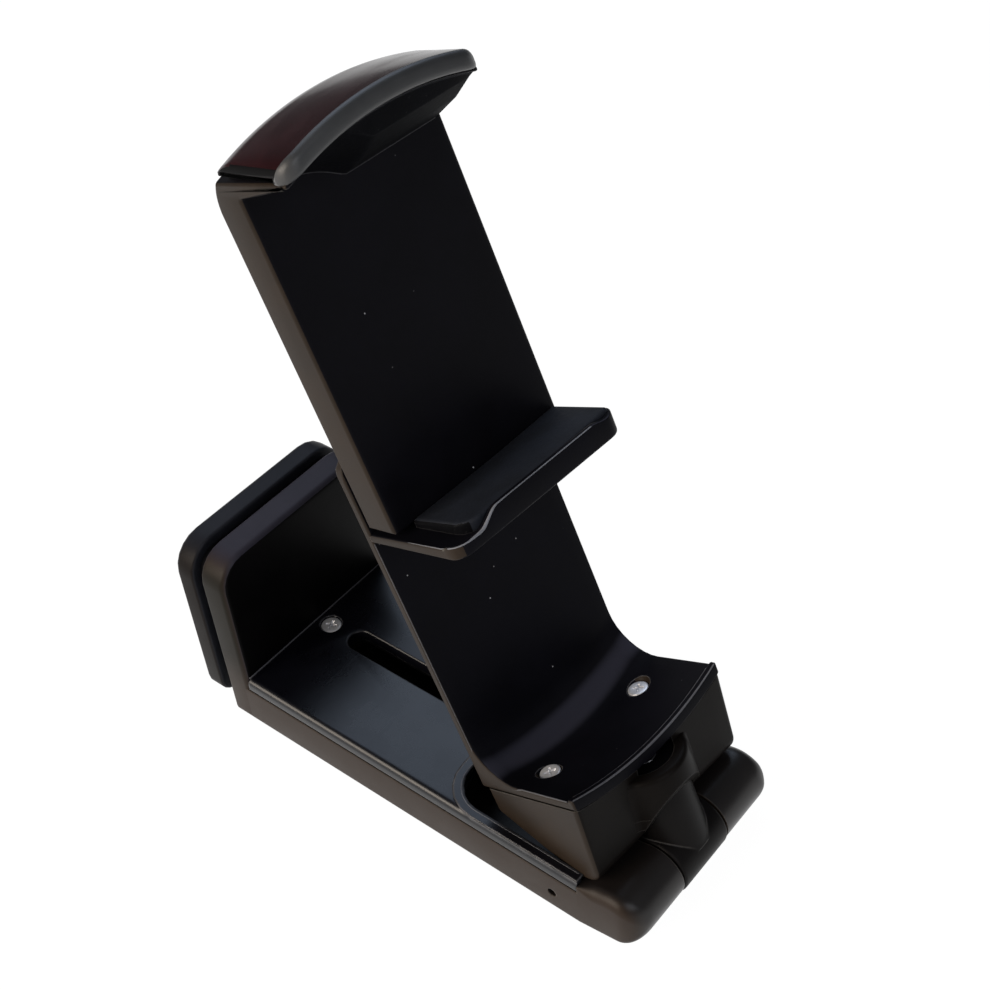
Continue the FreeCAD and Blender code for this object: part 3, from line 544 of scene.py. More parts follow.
def soft_rubber(name, colour, specular):
    """Soft rubber: matt, finely pitted, with dust in the pits."""
    finish = Finish(name)
    pits = finish.add("ShaderNodeTexVoronoi", {"feature": "SMOOTH_F1"}, {
        "Vector": finish.places(), "Scale": 1500.0})
    clouds = finish.noise(160.0, 4.0)
    fine = finish.noise(2600.0, 3.0, 0.65)
    round_normal = finish.rounded(0.4)
    rubbed = finish.edges(round_normal)
    height = pits * 0.8 + fine * 0.5
    tone = finish.ramp(clouds, 0.3, 0.72)
    base = finish.blend(tone, opaque(colour, 0.75), opaque(colour, 1.3))
    base = finish.blend(rubbed * 0.4 + finish.ramp(fine, 0.62, 0.75) * 0.15, base, (0.10, 0.10, 0.105, 1.0))
    normal = finish.add("ShaderNodeBump", {}, {
        "Strength": 0.5, "Distance": 0.08 * MM, "Height": height, "Normal": round_normal})
    return finish.surface({
        "Base Color": base, "Roughness": fine * 0.12 + 0.68, "Specular IOR Level": specular, "Normal": normal})


def steel(name, colour, roughness, stretch, metal):
    """Steel with drawn or turned marks, tarnish in patches and brighter edges."""
    finish = Finish(name)
    marks = finish.noise(1800.0, 3.0, 0.6, stretch)
    patches = finish.ramp(finish.noise(500.0, 3.0), 0.35, 0.75)
    round_normal = finish.rounded(0.12)
    rubbed = finish.edges(round_normal)
    base = finish.blend(patches, opaque(colour), opaque(colour, 0.72))
    base = finish.blend(rubbed * 0.5, base, (0.86, 0.86, 0.87, 1.0))
    normal = finish.add("ShaderNodeBump", {}, {
        "Strength": 0.35, "Distance": 0.03 * MM, "Height": marks, "Normal": round_normal})
    return finish.surface({
        "Base Color": base, "Metallic": metal, "Roughness": marks * 0.18 + patches * 0.08 + (roughness - 0.08),
        "Normal": normal})


# The shell's faces turned to the near side take a painted warm light.
shell_plastic = moulded_plastic(
    "shell plastic", (0.0085, 0.0066, 0.0060), (0.12, 0.10, 0.08), specular=0.15,
    painted_light_bands=[(near_side, 0.15, 0.9, near_side_painted_light, all_heights)], coat_from=cover_end)
# Painted shade: the jaw's faces turned to the near side take a darker brown.
jaw_plastic = moulded_plastic(
    "jaw plastic", (0.0180, 0.0190, 0.0240), (0.09, 0.085, 0.09), roughness=0.44, specular=0.08,
    painted_light_bands=[(near_side, 0.3, 0.95, (0.0056, 0.0036, 0.0028), all_heights)])
# Painted light on the wall: its rim a lighter blue-grey than the tub and its near face warm brown; faces turned
# squarely to the near side above 6 mm take a darker olive painted shade.
wall_painted_light = moulded_plastic(
    "wall rim painted light", (0.0290, 0.0270, 0.0370), (0.10, 0.10, 0.11),
    painted_light_bands=[(near_side, 0.15, 0.9, near_side_painted_light, all_heights),
           (near_side, 0.5, 0.98, (0.0080, 0.0062, 0.0032), 6.0)])
# Painted shade: a near-black copy of the wall's plastic for its inner face, which the lamps do not reach.
wall_face_painted_shade = moulded_plastic(
    "wall face painted shade", (0.0018, 0.0016, 0.0018), (0.05, 0.05, 0.055), roughness=0.46, specular=0.045)
cover_plastic = moulded_plastic(
    "cover plastic", (0.0018, 0.0019, 0.0036), (0.20, 0.20, 0.21), roughness=0.28, specular=0.40, grain=0.25)
housing_plastic = moulded_plastic(
    "housing plastic", (0.0060, 0.0048, 0.0041), (0.09, 0.085, 0.08), specular=0.05)
# The strong light edges of the panel and plate are wear and a painted edge highlight.
panel_plastic = moulded_plastic(
    "panel plastic", (0.0038, 0.0036, 0.0052), (0.26, 0.26, 0.27), roughness=0.50, specular=0.05, grain=0.30,
    dust=0.9, soft=0.22, rub=0.75)
# Painted highlight: faces of the fillet at the plate's foot take a lighter blue-grey.
plate_plastic = moulded_plastic(
    "plate plastic", (0.0038, 0.0037, 0.0056), (0.26, 0.26, 0.27), roughness=0.50, specular=0.05, grain=0.30,
    dust=0.9, soft=0.22, rub=0.75, painted_light_bands=[(fillet_way, 0.92, 0.99, (0.0300, 0.0300, 0.0420), all_heights)])
# Painted light: a lighter, warmer copy of the dark plastics for faces turned to either side.
side_painted_light = moulded_plastic(
    "side painted light", (0.0215, 0.0150, 0.0102), (0.16, 0.15, 0.13), roughness=0.44, specular=0.11, soft=0.25)
# Painted highlight: a lighter grey for the front band of the hood's cap.
cap_front_painted_highlight = moulded_plastic(
    "lip painted highlight", (0.0360, 0.0370, 0.0380), (0.20, 0.21, 0.22), specular=0.45)
hinge_plastic = moulded_plastic(
    "hinge plastic", (0.0048, 0.0040, 0.0038), (0.08, 0.075, 0.07), specular=0.08, grain=0.45)
inner_plastic = moulded_plastic(
    "inner plastic", (0.0022, 0.0022, 0.0026), (0.03, 0.03, 0.032), roughness=0.50, specular=0.04)
# Painted highlights: light plastics for the thin strips laid along edges.
edge_highlight_plastic = moulded_plastic(
    "painted edge highlight", (0.085, 0.085, 0.095), (0.16, 0.16, 0.17), roughness=0.40, specular=0.30, grain=0.20)
bright_edge_highlight = moulded_plastic(
    "bright painted edge highlight", (0.15, 0.155, 0.175), (0.30, 0.31, 0.33), roughness=0.35, specular=0.40, grain=0.20)
foot_edge_highlight = moulded_plastic(
    "foot painted edge highlight", (0.030, 0.030, 0.032), (0.08, 0.08, 0.085), roughness=0.45, specular=0.15, grain=0.20)
# The red-brown in the cap's colour is a painted reflection of warm surroundings.
hood_gloss = glossy_plastic("hood gloss", (0.0150, 0.0034, 0.0042))
pad_rubber = soft_rubber("pad rubber", (0.0018, 0.0019, 0.0028), 0.05)
ledge_rubber = soft_rubber("ledge rubber", (0.0075, 0.0098, 0.0158), 0.25)
bright_steel = steel("bright steel", (0.92, 0.92, 0.94), 0.34, (1.0, 0.1, 1.0), 0.6)
spring_steel = steel("spring steel", (0.50, 0.50, 0.52), 0.30, (1.0, 1.0, 0.1), 1.0)


# Base

def knuckle_reach(x, side):
    """Height of the base's lower or upper outline at a place beyond the cover's end."""
    start = 0.0 if side < 0 else knuckle_ramp_start
    across, up = cover_end - hinge_x, start - hinge_z
    angle = math.atan2(up, across) - side * math.acos(knuckle_radius / math.hypot(across, up))
    touch_x = hinge_x + knuckle_radius * math.cos(angle)
    touch_z = hinge_z + knuckle_radius * math.sin(angle)
    if x <= touch_x:
        return start + (touch_z - start) * (x - cover_end) / (touch_x - cover_end)
    return hinge_z + side * math.sqrt(max(knuckle_radius ** 2 - (x - hinge_x) ** 2, 0.0))


def make_base_shell():
    """The wall, and the tub that ends in the two outer knuckles; its near end corner is the rounder one."""
    low_round = 1.6
    seam_round = 0.25
    far_end_round = 2.4
    near_end_round = 4.6
    rings = []

    def ring(x, half, low, high, round_high, near=None):
        most = 0.46 * (high - low)
        under = min(low_round, most)
        over = min(round_high, most)
        corners = rectangle(-(near or half), half, low, high, under, over)
        rings.append([in_base(x, p.x, p.y) for p in outline(corners, 0.0, None, 6)])

    def half_at(x, end, end_round):
        over = max(x - (end - end_round), 0.0)
        return base_half - end_round + math.sqrt(max(end_round ** 2 - over ** 2, 0.0))

    ring(-4.0, base_half - 0.1, 0.1, shell_top, seam_round)
    for x in (-1.3, 20.0, 40.0, 60.0, cover_end - 0.02):
        ring(x, base_half, 0.0, shell_top, seam_round)
    end = hinge_x + knuckle_radius
    stations = [cover_end + 0.7 * i for i in range(10)] + [
        hinge_x + knuckle_radius * math.sin(math.radians(a)) for a in range(0, 91, 6)]
    for x in stations:
        half = half_at(x, end, far_end_round)
        near = half_at(x, end, near_end_round)
        x = min(x, end - 0.004)
        high_round = 0.3 + 2.1 * min(max((x - cover_end) / 3.0, 0.0), 1.0)
        ring(x, half, knuckle_reach(x, -1), knuckle_reach(x, 1), high_round, near)
    tub = skin(rings)

    wall = plate_x(
        rectangle(-base_half, base_half, 0.0, wall_height, low_round, 6.0),
        layers(-wall_thickness, 0.0, 0.8, 1.3, 0, 6), in_base)
    passage_half, passage_top = 8.8, 5.4
    wall_piece = piece("base_wall", wall, [
        block(-8.0, 2.0, -passage_half, passage_half, shell_floor, passage_top, in_base, 0.3)])
    on_hinge = along_y(in_base, hinge_x, hinge_z)
    beyond = base_half + 1
    cutters = [
        # the gap for the middle knuckle, the hollow, the jaw slide's passage and the arm's way in
        block(cover_end + 0.1, hinge_x + 9, -knuckle_inner, knuckle_inner, -2.0, 16.0, in_base),
        block(0.2, 75.6, -window_half, window_half, shell_floor, 10.0, in_base, 0.4),
        block(-3.0, 1.0, -passage_half, passage_half, shell_floor, passage_top, in_base),
        block(74.0, hinge_x, -knuckle_inner, knuckle_inner, shell_floor, 18.0, in_base),
        # the seat of the end cap, the bore of the hinge pin and the small hole in the sides
        turned([(hinge_cap_start, 3.22), (beyond, 3.22)], on_hinge),
        turned([(-17.0, 1.62), (beyond, 1.62)], on_hinge),
        turned([(-beyond, 0.9), (beyond, 0.9)], along_y(in_base, 71.8, 4.9), 24),
    ]
    posts = [
        block(44.6, 46.2, side * tray_spring_y - 1.7, side * tray_spring_y + 1.7, 1.0, 6.3, in_base, 0.25)
        for side in (-1, 1)]
    boss = block(-0.5, 7.0, -3.4, 3.4, 5.7, 9.7, in_base, 0.4)
    tub_piece = piece("base_tub", tub, cutters, posts + [boss])
    return wall_piece, tub_piece


def flared(low, mouth, top, flare, steps=4):
    """Layers of a cutter whose mouth opens out in a rounded edge at the surface."""
    places = [(low, 0.0), (mouth - flare, 0.0)]
    for i in range(1, steps + 1):
        angle = math.pi / 2 * i / steps
        places.append((mouth - flare * (1 - math.sin(angle)), -flare * (1 - math.cos(angle))))
    places.append((top, -flare))
    return places


def window_edge(end, end_round=0.0, side_out=0.0, start_out=0.0):
    """Corners round the window, from its open end and back, moved out by a width."""
    half = window_half + side_out
    start = window_start - start_out
    turn = window_round + start_out
    return [(end, -half, end_round), (start, -half, turn), (start, half, turn), (end, half, end_round)]


def make_base_cover():
    """The cover with its slot, screw hole and window, whose rim stands up, and the step beneath it."""
    corners = [(0.15, -base_half, 0.0), (cover_end, -base_half, 0.3)] + window_edge(cover_end, 0.3) + [
        (cover_end, base_half, 0.3), (0.15, base_half, 0.0)]
    # The narrow strips beside the window draw in on their outer side, and only a little on the inner one.
    drawn_in = [1.0, 0.2, 0.1, 0.1, 0.1, 0.2, 1.0, 0.0]
    plate = skin([
        [in_base(p.x, p.y, z) for p in outline(corners, inset, drawn_in)]
        for z, inset in layers(cover_bottom, base_height, 0.3, 1.25, 0, 8)])
    slot = plate_z(
        slot_corners(slot_start, slot_end, slot_half), flared(8.0, base_height, 14.0, 0.35), in_base)
    hole = turned(
        [(8.0, 1.1), (11.0, 1.1), (11.05, 2.12), (12.1, 2.12), (12.3, 2.2), (12.4, 2.42), (14.0, 2.42)],
        along_z(in_base, 3.2, 0.0))
    rim_corners = window_edge(cover_end, 0.0, 1.45, 1.5) + window_edge(cover_end)[::-1]
    rim = plate_z(rim_corners, layers(11.6, base_height + 0.35, 0.0, 0.3, 0, 5), in_base)
    step = block(0.2, cover_end - 0.1, -19.2, 19.2, 9.2, 9.9, in_base)
    step_window = plate_z(window_edge(90.0)[::-1], [(8.0, 0.0), (11.0, 0.0)], in_base)
    return (
        piece("base_cover_plate", plate, [slot, hole], [rim]),
        piece("base_cover_step", step, [slot, hole, step_window]))


def screw(name, radius, rise, to_frame, shank):
    """A low head with a cross recess and the start of its shank; the top of the head is at height zero."""
    head = turned(
        [(-shank, 0.45 * radius), (-rise, 0.5 * radius), (-rise + 0.02, radius * 0.97), (-0.28, radius),
         (-0.12, radius * 0.985), (-0.03, radius * 0.93), (0.0, radius * 0.84)],
        along_z(to_frame, 0.0, 0.0), 40)
    cutters = []
    long_half, thin_half = 0.62 * radius, 0.13 * radius
    for long_x in (True, False):
        rings = []
        for z, share in ((-0.55, 0.45), (0.2, 1.1)):
            a = long_half * share
            b = thin_half * (0.7 + 0.3 * share)
            a, b = (a, b) if long_x else (b, a)
            rings.append([to_frame(x, y, z) for x, y in ((-a, -b), (a, -b), (a, b), (-a, b))])
        cutters.append(skin(rings))
    return piece(name, head, cutters)


def spun(to_frame, x, y, z, angle=0.0, tilt=0.0):
    """A frame moved to a place, turned about its upright and then tilted about the width."""
    spin = Matrix.Rotation(math.radians(angle), 3, "Z")
    lean = Matrix.Rotation(math.radians(tilt), 3, "Y")

    def place(a, b, c):
        v = lean @ (spin @ Vector((a, b, c)))
        return to_frame(x + v.x, y + v.y, z + v.z)

    return place


def pad_x(name, x0, x1, corners, edge):
    return piece(name, plate_x(corners, layers(x0, x1, edge, edge, 0, 4), in_base))


def make_jaw_pads():
    """The soft facings that look at each other in the table clamp's mouth."""
    corners = rectangle(-18.0, 18.0, 8.0, 38.9, 4.0)
    near = pad_x("wall_facing", -7.0, -5.9, corners, 0.35)
    far = pad_x("tray_jaw_facing", -8.35, -7.3, corners, 0.35)
    return near, far


def make_tray_jaw():
    """The sliding jaw with the sunk field on its back, and its slide plate with the spring bar."""
    corners = rectangle(-base_half, base_half, 2.6, 40.9, 3.5, 6.5)
    plate = plate_x(corners, layers(-13.0, -8.3, 1.3, 0.6, 0, 6), in_base)
    hollow = plate_x(
        rectangle(-14.5, 14.5, 9.0, 35.5, 3.0), [(-14.0, -0.5), (-13.0, -0.5), (-12.75, -0.1), (-12.45, 0.0)],
        in_base)
    leg = block(-9.0, 44.0, -8.5, 8.5, 2.1, 5.1, in_base, 0.35)
    bar = block(41.5, 44.0, -17.3, 17.3, 2.1, 8.1, in_base, 0.4)
    opening = plate_z(rectangle(8.5, 33.4, -5.0, 5.0, 2.0), [(0.0, 0.0), (7.0, 0.0)], in_base)
    slide = piece("tray_jaw_slide_plate", leg, [opening], [bar])
    return piece("tray_jaw_plate", plate, [hollow]), slide


def coil(radius, wire, length, turns, to_frame):
    """A coil spring of round wire whose end turns lie close; to_frame takes the run, then the ring."""
    per_turn = 20
    sides = 8
    close_pitch = 2.1 * wire
    open_length = length - 2 * wire - 2 * close_pitch
    count = int(round(turns * per_turn))
    line = []
    for i in range(count + 1):
        turn = i / per_turn
        share = min(max((turn - 1.0) / (turns - 2.0), 0.0), 1.0)
        close = close_pitch * (min(turn, 1.0) + max(turn - (turns - 1.0), 0.0))
        run = wire + close + open_length * share
        angle = 2 * math.pi * turn
        line.append(Vector((run, radius * math.cos(angle), radius * math.sin(angle))))
    rings = []
    for i, point in enumerate(line):
        ahead = (line[min(i + 1, count)] - line[max(i - 1, 0)]).normalized()
        outwards = Vector((0, point.y, point.z)).normalized()
        third = ahead.cross(outwards).normalized()
        ring = []
        for j in range(sides):
            angle = 2 * math.pi * j / sides
            spot = point + (outwards * math.cos(angle) + third * math.sin(angle)) * wire
            ring.append(to_frame(spot.x, spot.y, spot.z))
        rings.append(ring)
    return skin(rings)


def stretched(made, length, to_frame):
    """Bake a spring's placing into its mesh; the places where its run starts and ends are worked out but not
    used.
    """
    tuple(to_frame(0.0, 0.0, 0.0))
    tuple(to_frame(length, 0.0, 0.0))
    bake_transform(made)
    return made


def make_tray_spring(name, side):
    length = 40.6

    def place(run, a, b):
        return in_base(0.45 + run, side * tray_spring_y + a, tray_spring_z + b)

    made = piece(name + "_coil", coil(1.9, 0.3, length, 9, place), smooth=60)
    return stretched(made, length, place)


# Swivel

def make_swivel_post():
    """The middle knuckle with the round neck that the arm turns on."""
    barrel = skin([
        [in_post(p.x, y, p.y) for p in circle(neck_radius - inset, 64)]
        for y, inset in across(knuckle_inner - 0.35, 0.5, 3)])
    profile = [(height, neck_radius) for height in (1.0, 6.0, 10.0, 17.4)] + [(17.8, 5.8), (18.0, 5.5)]
    neck = turned(profile, along_z(in_post, 0.0, 0.0), 64)
    return piece("swivel_neck", barrel, [], [neck])


# Arm

def drawn_back(y, full, radius):
    """A depth or height that falls off in an arc over the last part of the arm's width."""
    corner = max(abs(y) - (arm_half - radius), 0.0)
    return full - radius + math.sqrt(max(radius ** 2 - corner ** 2, 0.0))


def shelf_rise(y):
    return shelf_arc - math.sqrt(shelf_arc ** 2 - y ** 2)


def shelf_height(depth, y):
    return shelf_low[1] + shelf_slope * (depth - shelf_low[0]) + shelf_rise(y)


def housing_face(depth, height):
    """Depth of the housing's leaning front at a height, from its depth at the lower corner."""
    lean, tall = housing_face_run
    return depth + lean * (height - housing_face_low[1]) / tall


def housing_section(y, inset):
    under = shelf_thickness + 0.12
    front_top = shelf_height(3.3, y) - under
    front = min(housing_face(housing_face_low[0], front_top), 3.38)
    back_top = shelf_height(housing_back, y) - under
    corners = [
        (-0.8, 6.6, 3.4), housing_face_low + (3.2,), (front, front_top, 0.0), (housing_back, back_top, 0.0),
        (housing_back, 15.2, 1.6), (-5.0, 6.6, 4.0)]
    return outline(corners, inset, [1.0, 1.0, 0.0, 1.0, 1.0, 1.0], 6)


def barrel_ring(height, radius, flare):
    """The barrel's front half, run out into the housing's face on both sides."""
    face = housing_face(1.25, height)
    reach = math.sqrt((radius + flare) ** 2 - (face + flare) ** 2)
    lean = math.degrees(math.atan2(reach, face + flare))
    points = [(face - 2.0, -reach)]
    points += bow((face + flare, -reach), flare, 180.0, 180.0 - lean, 5)
    points += bow((0.0, 0.0), radius, -lean, lean, 30)[1:-1]
    points += bow((face + flare, reach), flare, 180.0 + lean, 180.0, 5)
    points.append((face - 2.0, reach))
    return [in_arm(a, b, height) for a, b in points]


def make_swivel_housing():
    form = swept(housing_section, across(arm_half, 1.0, 11, 8), in_arm)
    heights = [(9.9, 0.0)] + layers(12.0, barrel_top, 0.1, 0.9, 3, 8)
    barrel = skin([barrel_ring(height, barrel_radius - inset, 2.2) for height, inset in heights])
    bore = turned(
        [(0.0, 6.1), (17.6, 6.1), (17.65, 6.8), (19.62, 6.8), (19.65, 5.3), (24.0, 5.3)],
        along_z(in_arm, 0.0, 0.0), 64)
    beneath = swept(
        lambda y, inset: [Vector(p) for p in ((0.9, 6.0), (9.0, 6.0), (9.0, 18.0), (0.9, 7.6))],
        [(-12.0, 0.0), (12.0, 0.0)], in_arm)
    return piece("swivel_block", form, [bore]), piece("swivel_barrel", barrel, [bore, beneath])


def plate_section(y, inset):
    """The back plate, the fillet at its foot and the shelf with its low rim."""
    top = drawn_back(y, plate_top, 4.0)
    rim_back, rim_foot = shelf_front - 1.2, shelf_front - 1.4
    corners = [
        (plate_back, top, 0.4), (plate_back, shelf_height(plate_back, y) - shelf_thickness, 0.5),
        (shelf_front, shelf_height(shelf_front, y) - shelf_thickness, 0.3),
        (shelf_front, shelf_height(shelf_front, y) + 0.42, 0.3),
        (rim_back, shelf_height(rim_back, y) + 0.5, 0.3), (rim_foot, shelf_height(rim_foot, y), 0.2),
        (plate_front, shelf_height(plate_front, y), 7.6), (plate_front, top, 0.4)]
    return outline(corners, inset, None, 8)


def shelf_cutter(side):
    """A screw's hole in the shelf, with its seat and softened mouth."""
    y = side * shelf_screw_y
    place = spun(in_arm, shelf_screw_depth, y, shelf_height(shelf_screw_depth, y))
    return turned(
        [(-3.0, 1.1), (-1.0, 1.1), (-0.98, 2.05), (-0.4, 2.05), (-0.1, 2.2), (0.4, 2.5), (3.0, 2.5)],
        along_z(place, 0.0, 0.0), 40)


def lip_top(y):
    """Height of the ledge's lip: full in the middle and an easy S down towards each end."""
    share = min(max((-y - 8.8) / 4.6, (y - 12.5) / 3.0, 0.0), 1.0)
    ease = share * share * (3 - 2 * share)
    return 77.5 - (2.05 if y < 0 else 0.6) * ease


def ledge_edge(y):
    return drawn_back(y, ledge_front, 3.0)


def ledge_slope(depth, root, tip):
    """A height on the ledge, which climbs from its root at the plate to its tip."""
    return root + (tip - root) * (depth - ledge_root) / (ledge_front - ledge_root)


def ledge_section(y, inset):
    root = ledge_root + 0.2
    front = ledge_edge(y)
    back = front - 1.0
    top = lip_top(y)
    corners = [
        (root, ledge_slope(root, 72.2, 73.2), 0.0), (front, ledge_slope(front, 72.2, 73.2), 0.5),
        (front, top, 0.3), (back, top, 0.3), (back - 0.15, ledge_slope(back, 73.7, 75.2), 0.1),
        (root, ledge_slope(root, 73.7, 75.2), 0.0)]
    return outline(corners, inset, [1.0, 1.0, 1.0, 1.0, 1.0, 0.0], 4)


def make_back_plate():
    """The plate with its shelf, the ledge that holds the phone, and the tongue that the sleeve runs on."""
    plate = swept(plate_section, across(arm_half, 0.45, 15, 4), in_arm)
    back = piece("back_plate_and_shelf", plate, [shelf_cutter(-1), shelf_cutter(1)])
    places = across(arm_half, 0.4, 41, 4)
    extra = [(side * (arm_half - 3.0 + 3.0 * math.sin(math.radians(a))), 0.0) for side in (-1, 1)
             for a in (10, 20, 30, 40, 50, 60)]
    places = sorted(places + extra)
    ledge = piece("ledge", swept(ledge_section, places, in_arm))
    thickness = layers(tongue_back, tongue_front, 0.3, 0.3, 0, 3)
    tongue_form = plate_x(rectangle(-11.6, 11.6, 73.0, 125.2, 0.3, 1.5), thickness, in_arm)
    guide_slot = plate_x(
        rectangle(-2.6, 2.6, 81.4, 122.6, 2.59), [(-19.0, 0.0), (-13.0, 0.0)], in_arm)
    posts = [
        block(tongue_back, tongue_front, side * sleeve_spring_y - 1.2, side * sleeve_spring_y + 1.2, 73.0, 77.6,
              in_arm, 0.2)
        for side in (-1, 1)]
    tongue = piece("tongue", tongue_form, [guide_slot], posts)
    return back, ledge, tongue


def make_lower_pad():
    """The pad rises a little towards the lip, and its corners at the front are cut round."""
    back, most_front = -12.0, 1.35
    near_round, far_round = 3.0, 1.0

    def section(y, inset):
        corner = near_round if y < pad_middle else far_round
        cut = max(corner - (pad_reach - abs(y - pad_middle)), 0.0)
        front = most_front - corner + math.sqrt(max(corner ** 2 - cut ** 2, 0.04))

        def floor(depth):
            return ledge_slope(depth, 73.65, 75.15)

        def top(depth):
            return 75.7 + 1.45 * (depth - back) / (most_front - back) + 0.03 * max(y - 2.0, 0.0)

        corners = [
            (back, floor(back), 0.1), (front, floor(front), 0.1),
            (front, top(front), 0.45), (back, top(back), 0.2)]
        return outline(corners, inset, [0.0, 1.0, 1.0, 0.0], 4)

    places = [(pad_middle + y, inset) for y, inset in across(pad_reach, 0.6, 63, 4)]
    places += [
        (pad_middle - pad_reach + near_round - near_round * math.cos(math.radians(a)), 0.0)
        for a in (45, 55, 65, 75, 85)]
    return piece("ledge_pad", swept(section, sorted(places), in_arm))


def edge_strip(name, line, thick, to_frame=in_arm):
    """A thin strip of painted highlight along a line of places given as depth, y, height and share of the
    thickness.
    """
    upright = (to_frame(0, 0, 1) - to_frame(0, 0, 0)).normalized()
    spots = [to_frame(*place[:3]) for place in line]
    rings = []
    for i, place in enumerate(line):
        run = (spots[min(i + 1, len(line) - 1)] - spots[max(i - 1, 0)]).normalized()
        out = run.cross(upright)
        out = out.normalized() if out.length > 0.2 else run.cross(Vector((0, 1, 0))).normalized()
        other = run.cross(out).normalized()
        size = thick * place[3] * MM
        rings.append([
            spots[i] + (out * math.cos(math.pi * j / 4) + other * math.sin(math.pi * j / 4)) * size
            for j in range(8)])
    return piece(name, skin(rings), smooth=60)


def make_lip_edge():
    """A painted highlight along the edge of the ledge's lip, widest where the lip drops at the near end."""
    line = [
        (depth, -arm_half + 0.15, ledge_slope(depth, 73.66, 75.16), share)
        for depth, share in ((-10.0, 0.2), (-7.0, 0.25), (-4.0, 0.3), (-1.6, 0.35))]
    drop = [-12.8 + 0.6 * i for i in range(8)]
    for y in [-18.2, -18.0, -17.6, -17.1, -16.5, -15.8, -15.0, -14.2, -13.4] + drop + [
            -6.0, -3.0, 0.0, 3.0, 6.0, 9.0, 12.4]:
        share = 0.42 + 0.58 * math.exp(-((y + 12.5) / 3.2) ** 2)
        line.append((ledge_edge(y) - 0.14, y, lip_top(y) - 0.12, share))
    return edge_strip("lip_edge", line, 0.26)


def make_plate_edges():
    """Painted highlights round the shelf's rim and down the plate's near side."""
    rim = [
        (shelf_front - 0.14, y, shelf_height(shelf_front, y) + 0.34, 1.0 - 0.4 * abs(y) / 18.0)
        for y in range(-18, 19)]
    inner = [(shelf_front - 1.28, y, shelf_height(shelf_front - 1.2, y) + 0.36, 0.55) for y in range(-17, 18)]
    near = 0.1 - arm_half
    side = [(plate_front - 0.05, near, height, 0.5) for height in (72.0, 64.0, 56.0, 48.0, 40.0, 34.0, 30.0)]
    turn_height = shelf_height(plate_front, near) + 7.0
    side += [(a, near, b, 0.6) for a, b in bow((plate_front + 7.1, turn_height), 7.1, 180.0, 262.0, 10)]
    side += [(depth, near, shelf_height(depth, near) - 0.05, 0.7) for depth in (-10.0, -5.0, 0.0, 2.0)]
    return (
        edge_strip("shelf_rim_edge", rim, 0.20), edge_strip("shelf_inner_edge", inner, 0.14),
        edge_strip("plate_side_edge", side, 0.16))


def make_base_edges():
    """A painted highlight where the cover meets the wall, and two round the window's rim."""
    seam = [(0.04, -19.3 + 38.6 * i / 12, base_height + 0.04, 1.0 - 0.3 * i / 12) for i in range(13)]
    turn_x, turn_y = 54.6, -11.7
    lines = []
    for radius, height in ((6.75, base_height + 0.30), (7.85, base_height + 0.24)):
        half = [(turn_x - radius, y, height, 0.8) for y in (0.0, -4.0, -8.0)]
        half += [(x, y, height, 0.8) for x, y in bow((turn_x, turn_y), radius, 180.0, 270.0, 14)]
        half += [(x, turn_y - radius, height, 0.6) for x in (60.0, 66.0, 72.0, 76.8)]
        lines.append([(x, -y, z, share) for x, y, z, share in reversed(half)] + half[1:])
    return (
        edge_strip("wall_seam_edge", seam, 0.16, in_base),
        edge_strip("window_inner_edge", lines[0], 0.14, in_base),
        edge_strip("window_outer_edge", lines[1], 0.12, in_base))


def at_cap_front(middle, direction):
    """Whether a face lies in the cap's front band, measured along the arm's own directions."""
    band = 1.0
    origin = in_arm(0, 0, 0)
    depth = (middle - origin).dot((in_arm(1, 0, 0) - origin).normalized()) / MM
    y = (middle - origin).dot((in_arm(0, 1, 0) - origin).normalized()) / MM
    return depth > cap_front(max(min(y, arm_half), -arm_half)) - band


# Faces of the cap's near end, which take a dark matt painted shade.
def at_cap_end(middle, direction):
    return direction.y < -0.75 and not at_cap_front(middle, direction)


def make_foot_edge():
    """A thin painted highlight along the foot of the upper pad."""
    line = [(panel_front + 0.02, y, pad_foot(y) + 0.02, 0.6 + 0.4 * (y + 8.0) / 25.0) for y in range(-8, 18)]
    return edge_strip("pad_foot_edge", line, 0.14)


# Sleeve and hood

def dome(y):
    return math.sqrt(dome_arc ** 2 - y ** 2) - dome_arc


def hood_back_arc(low_angle, high_angle):
    return bow(hood_back_centre, hood_back_radius, low_angle, high_angle)


def angle_at(height):
    """Angle on the hood's rounded back at a height."""
    return 180.0 - math.degrees(math.asin((height - hood_back_centre[1]) / hood_back_radius))


def raised(points, rise):
    return [(p[0], p[1] + rise) + tuple(p[2:]) for p in points]


def panel_section(y, inset):
    """The front panel, which turns forward at its top into the underside of the hood."""
    shoulder = 137.0
    upper = [(panel_front, 134.54, 0.3), (0.1, 136.11, 0.2), (0.1, shoulder, 0.4)]
    upper += hood_back_arc(angle_at(shoulder), 180.0)
    corners = [(panel_back, panel_low, 0.4), (panel_front, panel_low, 0.6)] + raised(upper, dome(y))
    return outline(corners, inset, None, 8)


def cap_front(y):
    return drawn_back(y, 1.7, 3.0)


def cap_section(y, inset):
    """The cap is drawn in and lowered round its front corners."""
    front = cap_front(y)
    back = min(0.2, front - 1.3)
    drop = -drawn_back(y, 0.0, 2.0)
    low = cap_low + 0.1 * drop
    corners = [
        (back, cap_seam - 0.6 * drop, 0.0), (back, low, 0.3), (front, low, 0.8),
        (front, 139.55 - 0.8 * drop, 1.1 - 0.2 * drop)]
    corners += hood_back_arc(90.0, angle_at(cap_seam))
    return outline(raised(corners, dome(y)), inset, None, 5)


def core_section(y, inset):
    low, high = cap_low + 0.1, cap_seam + 0.1
    return outline(raised(rectangle(-15.1, 0.05, low, high), dome(y)), inset)


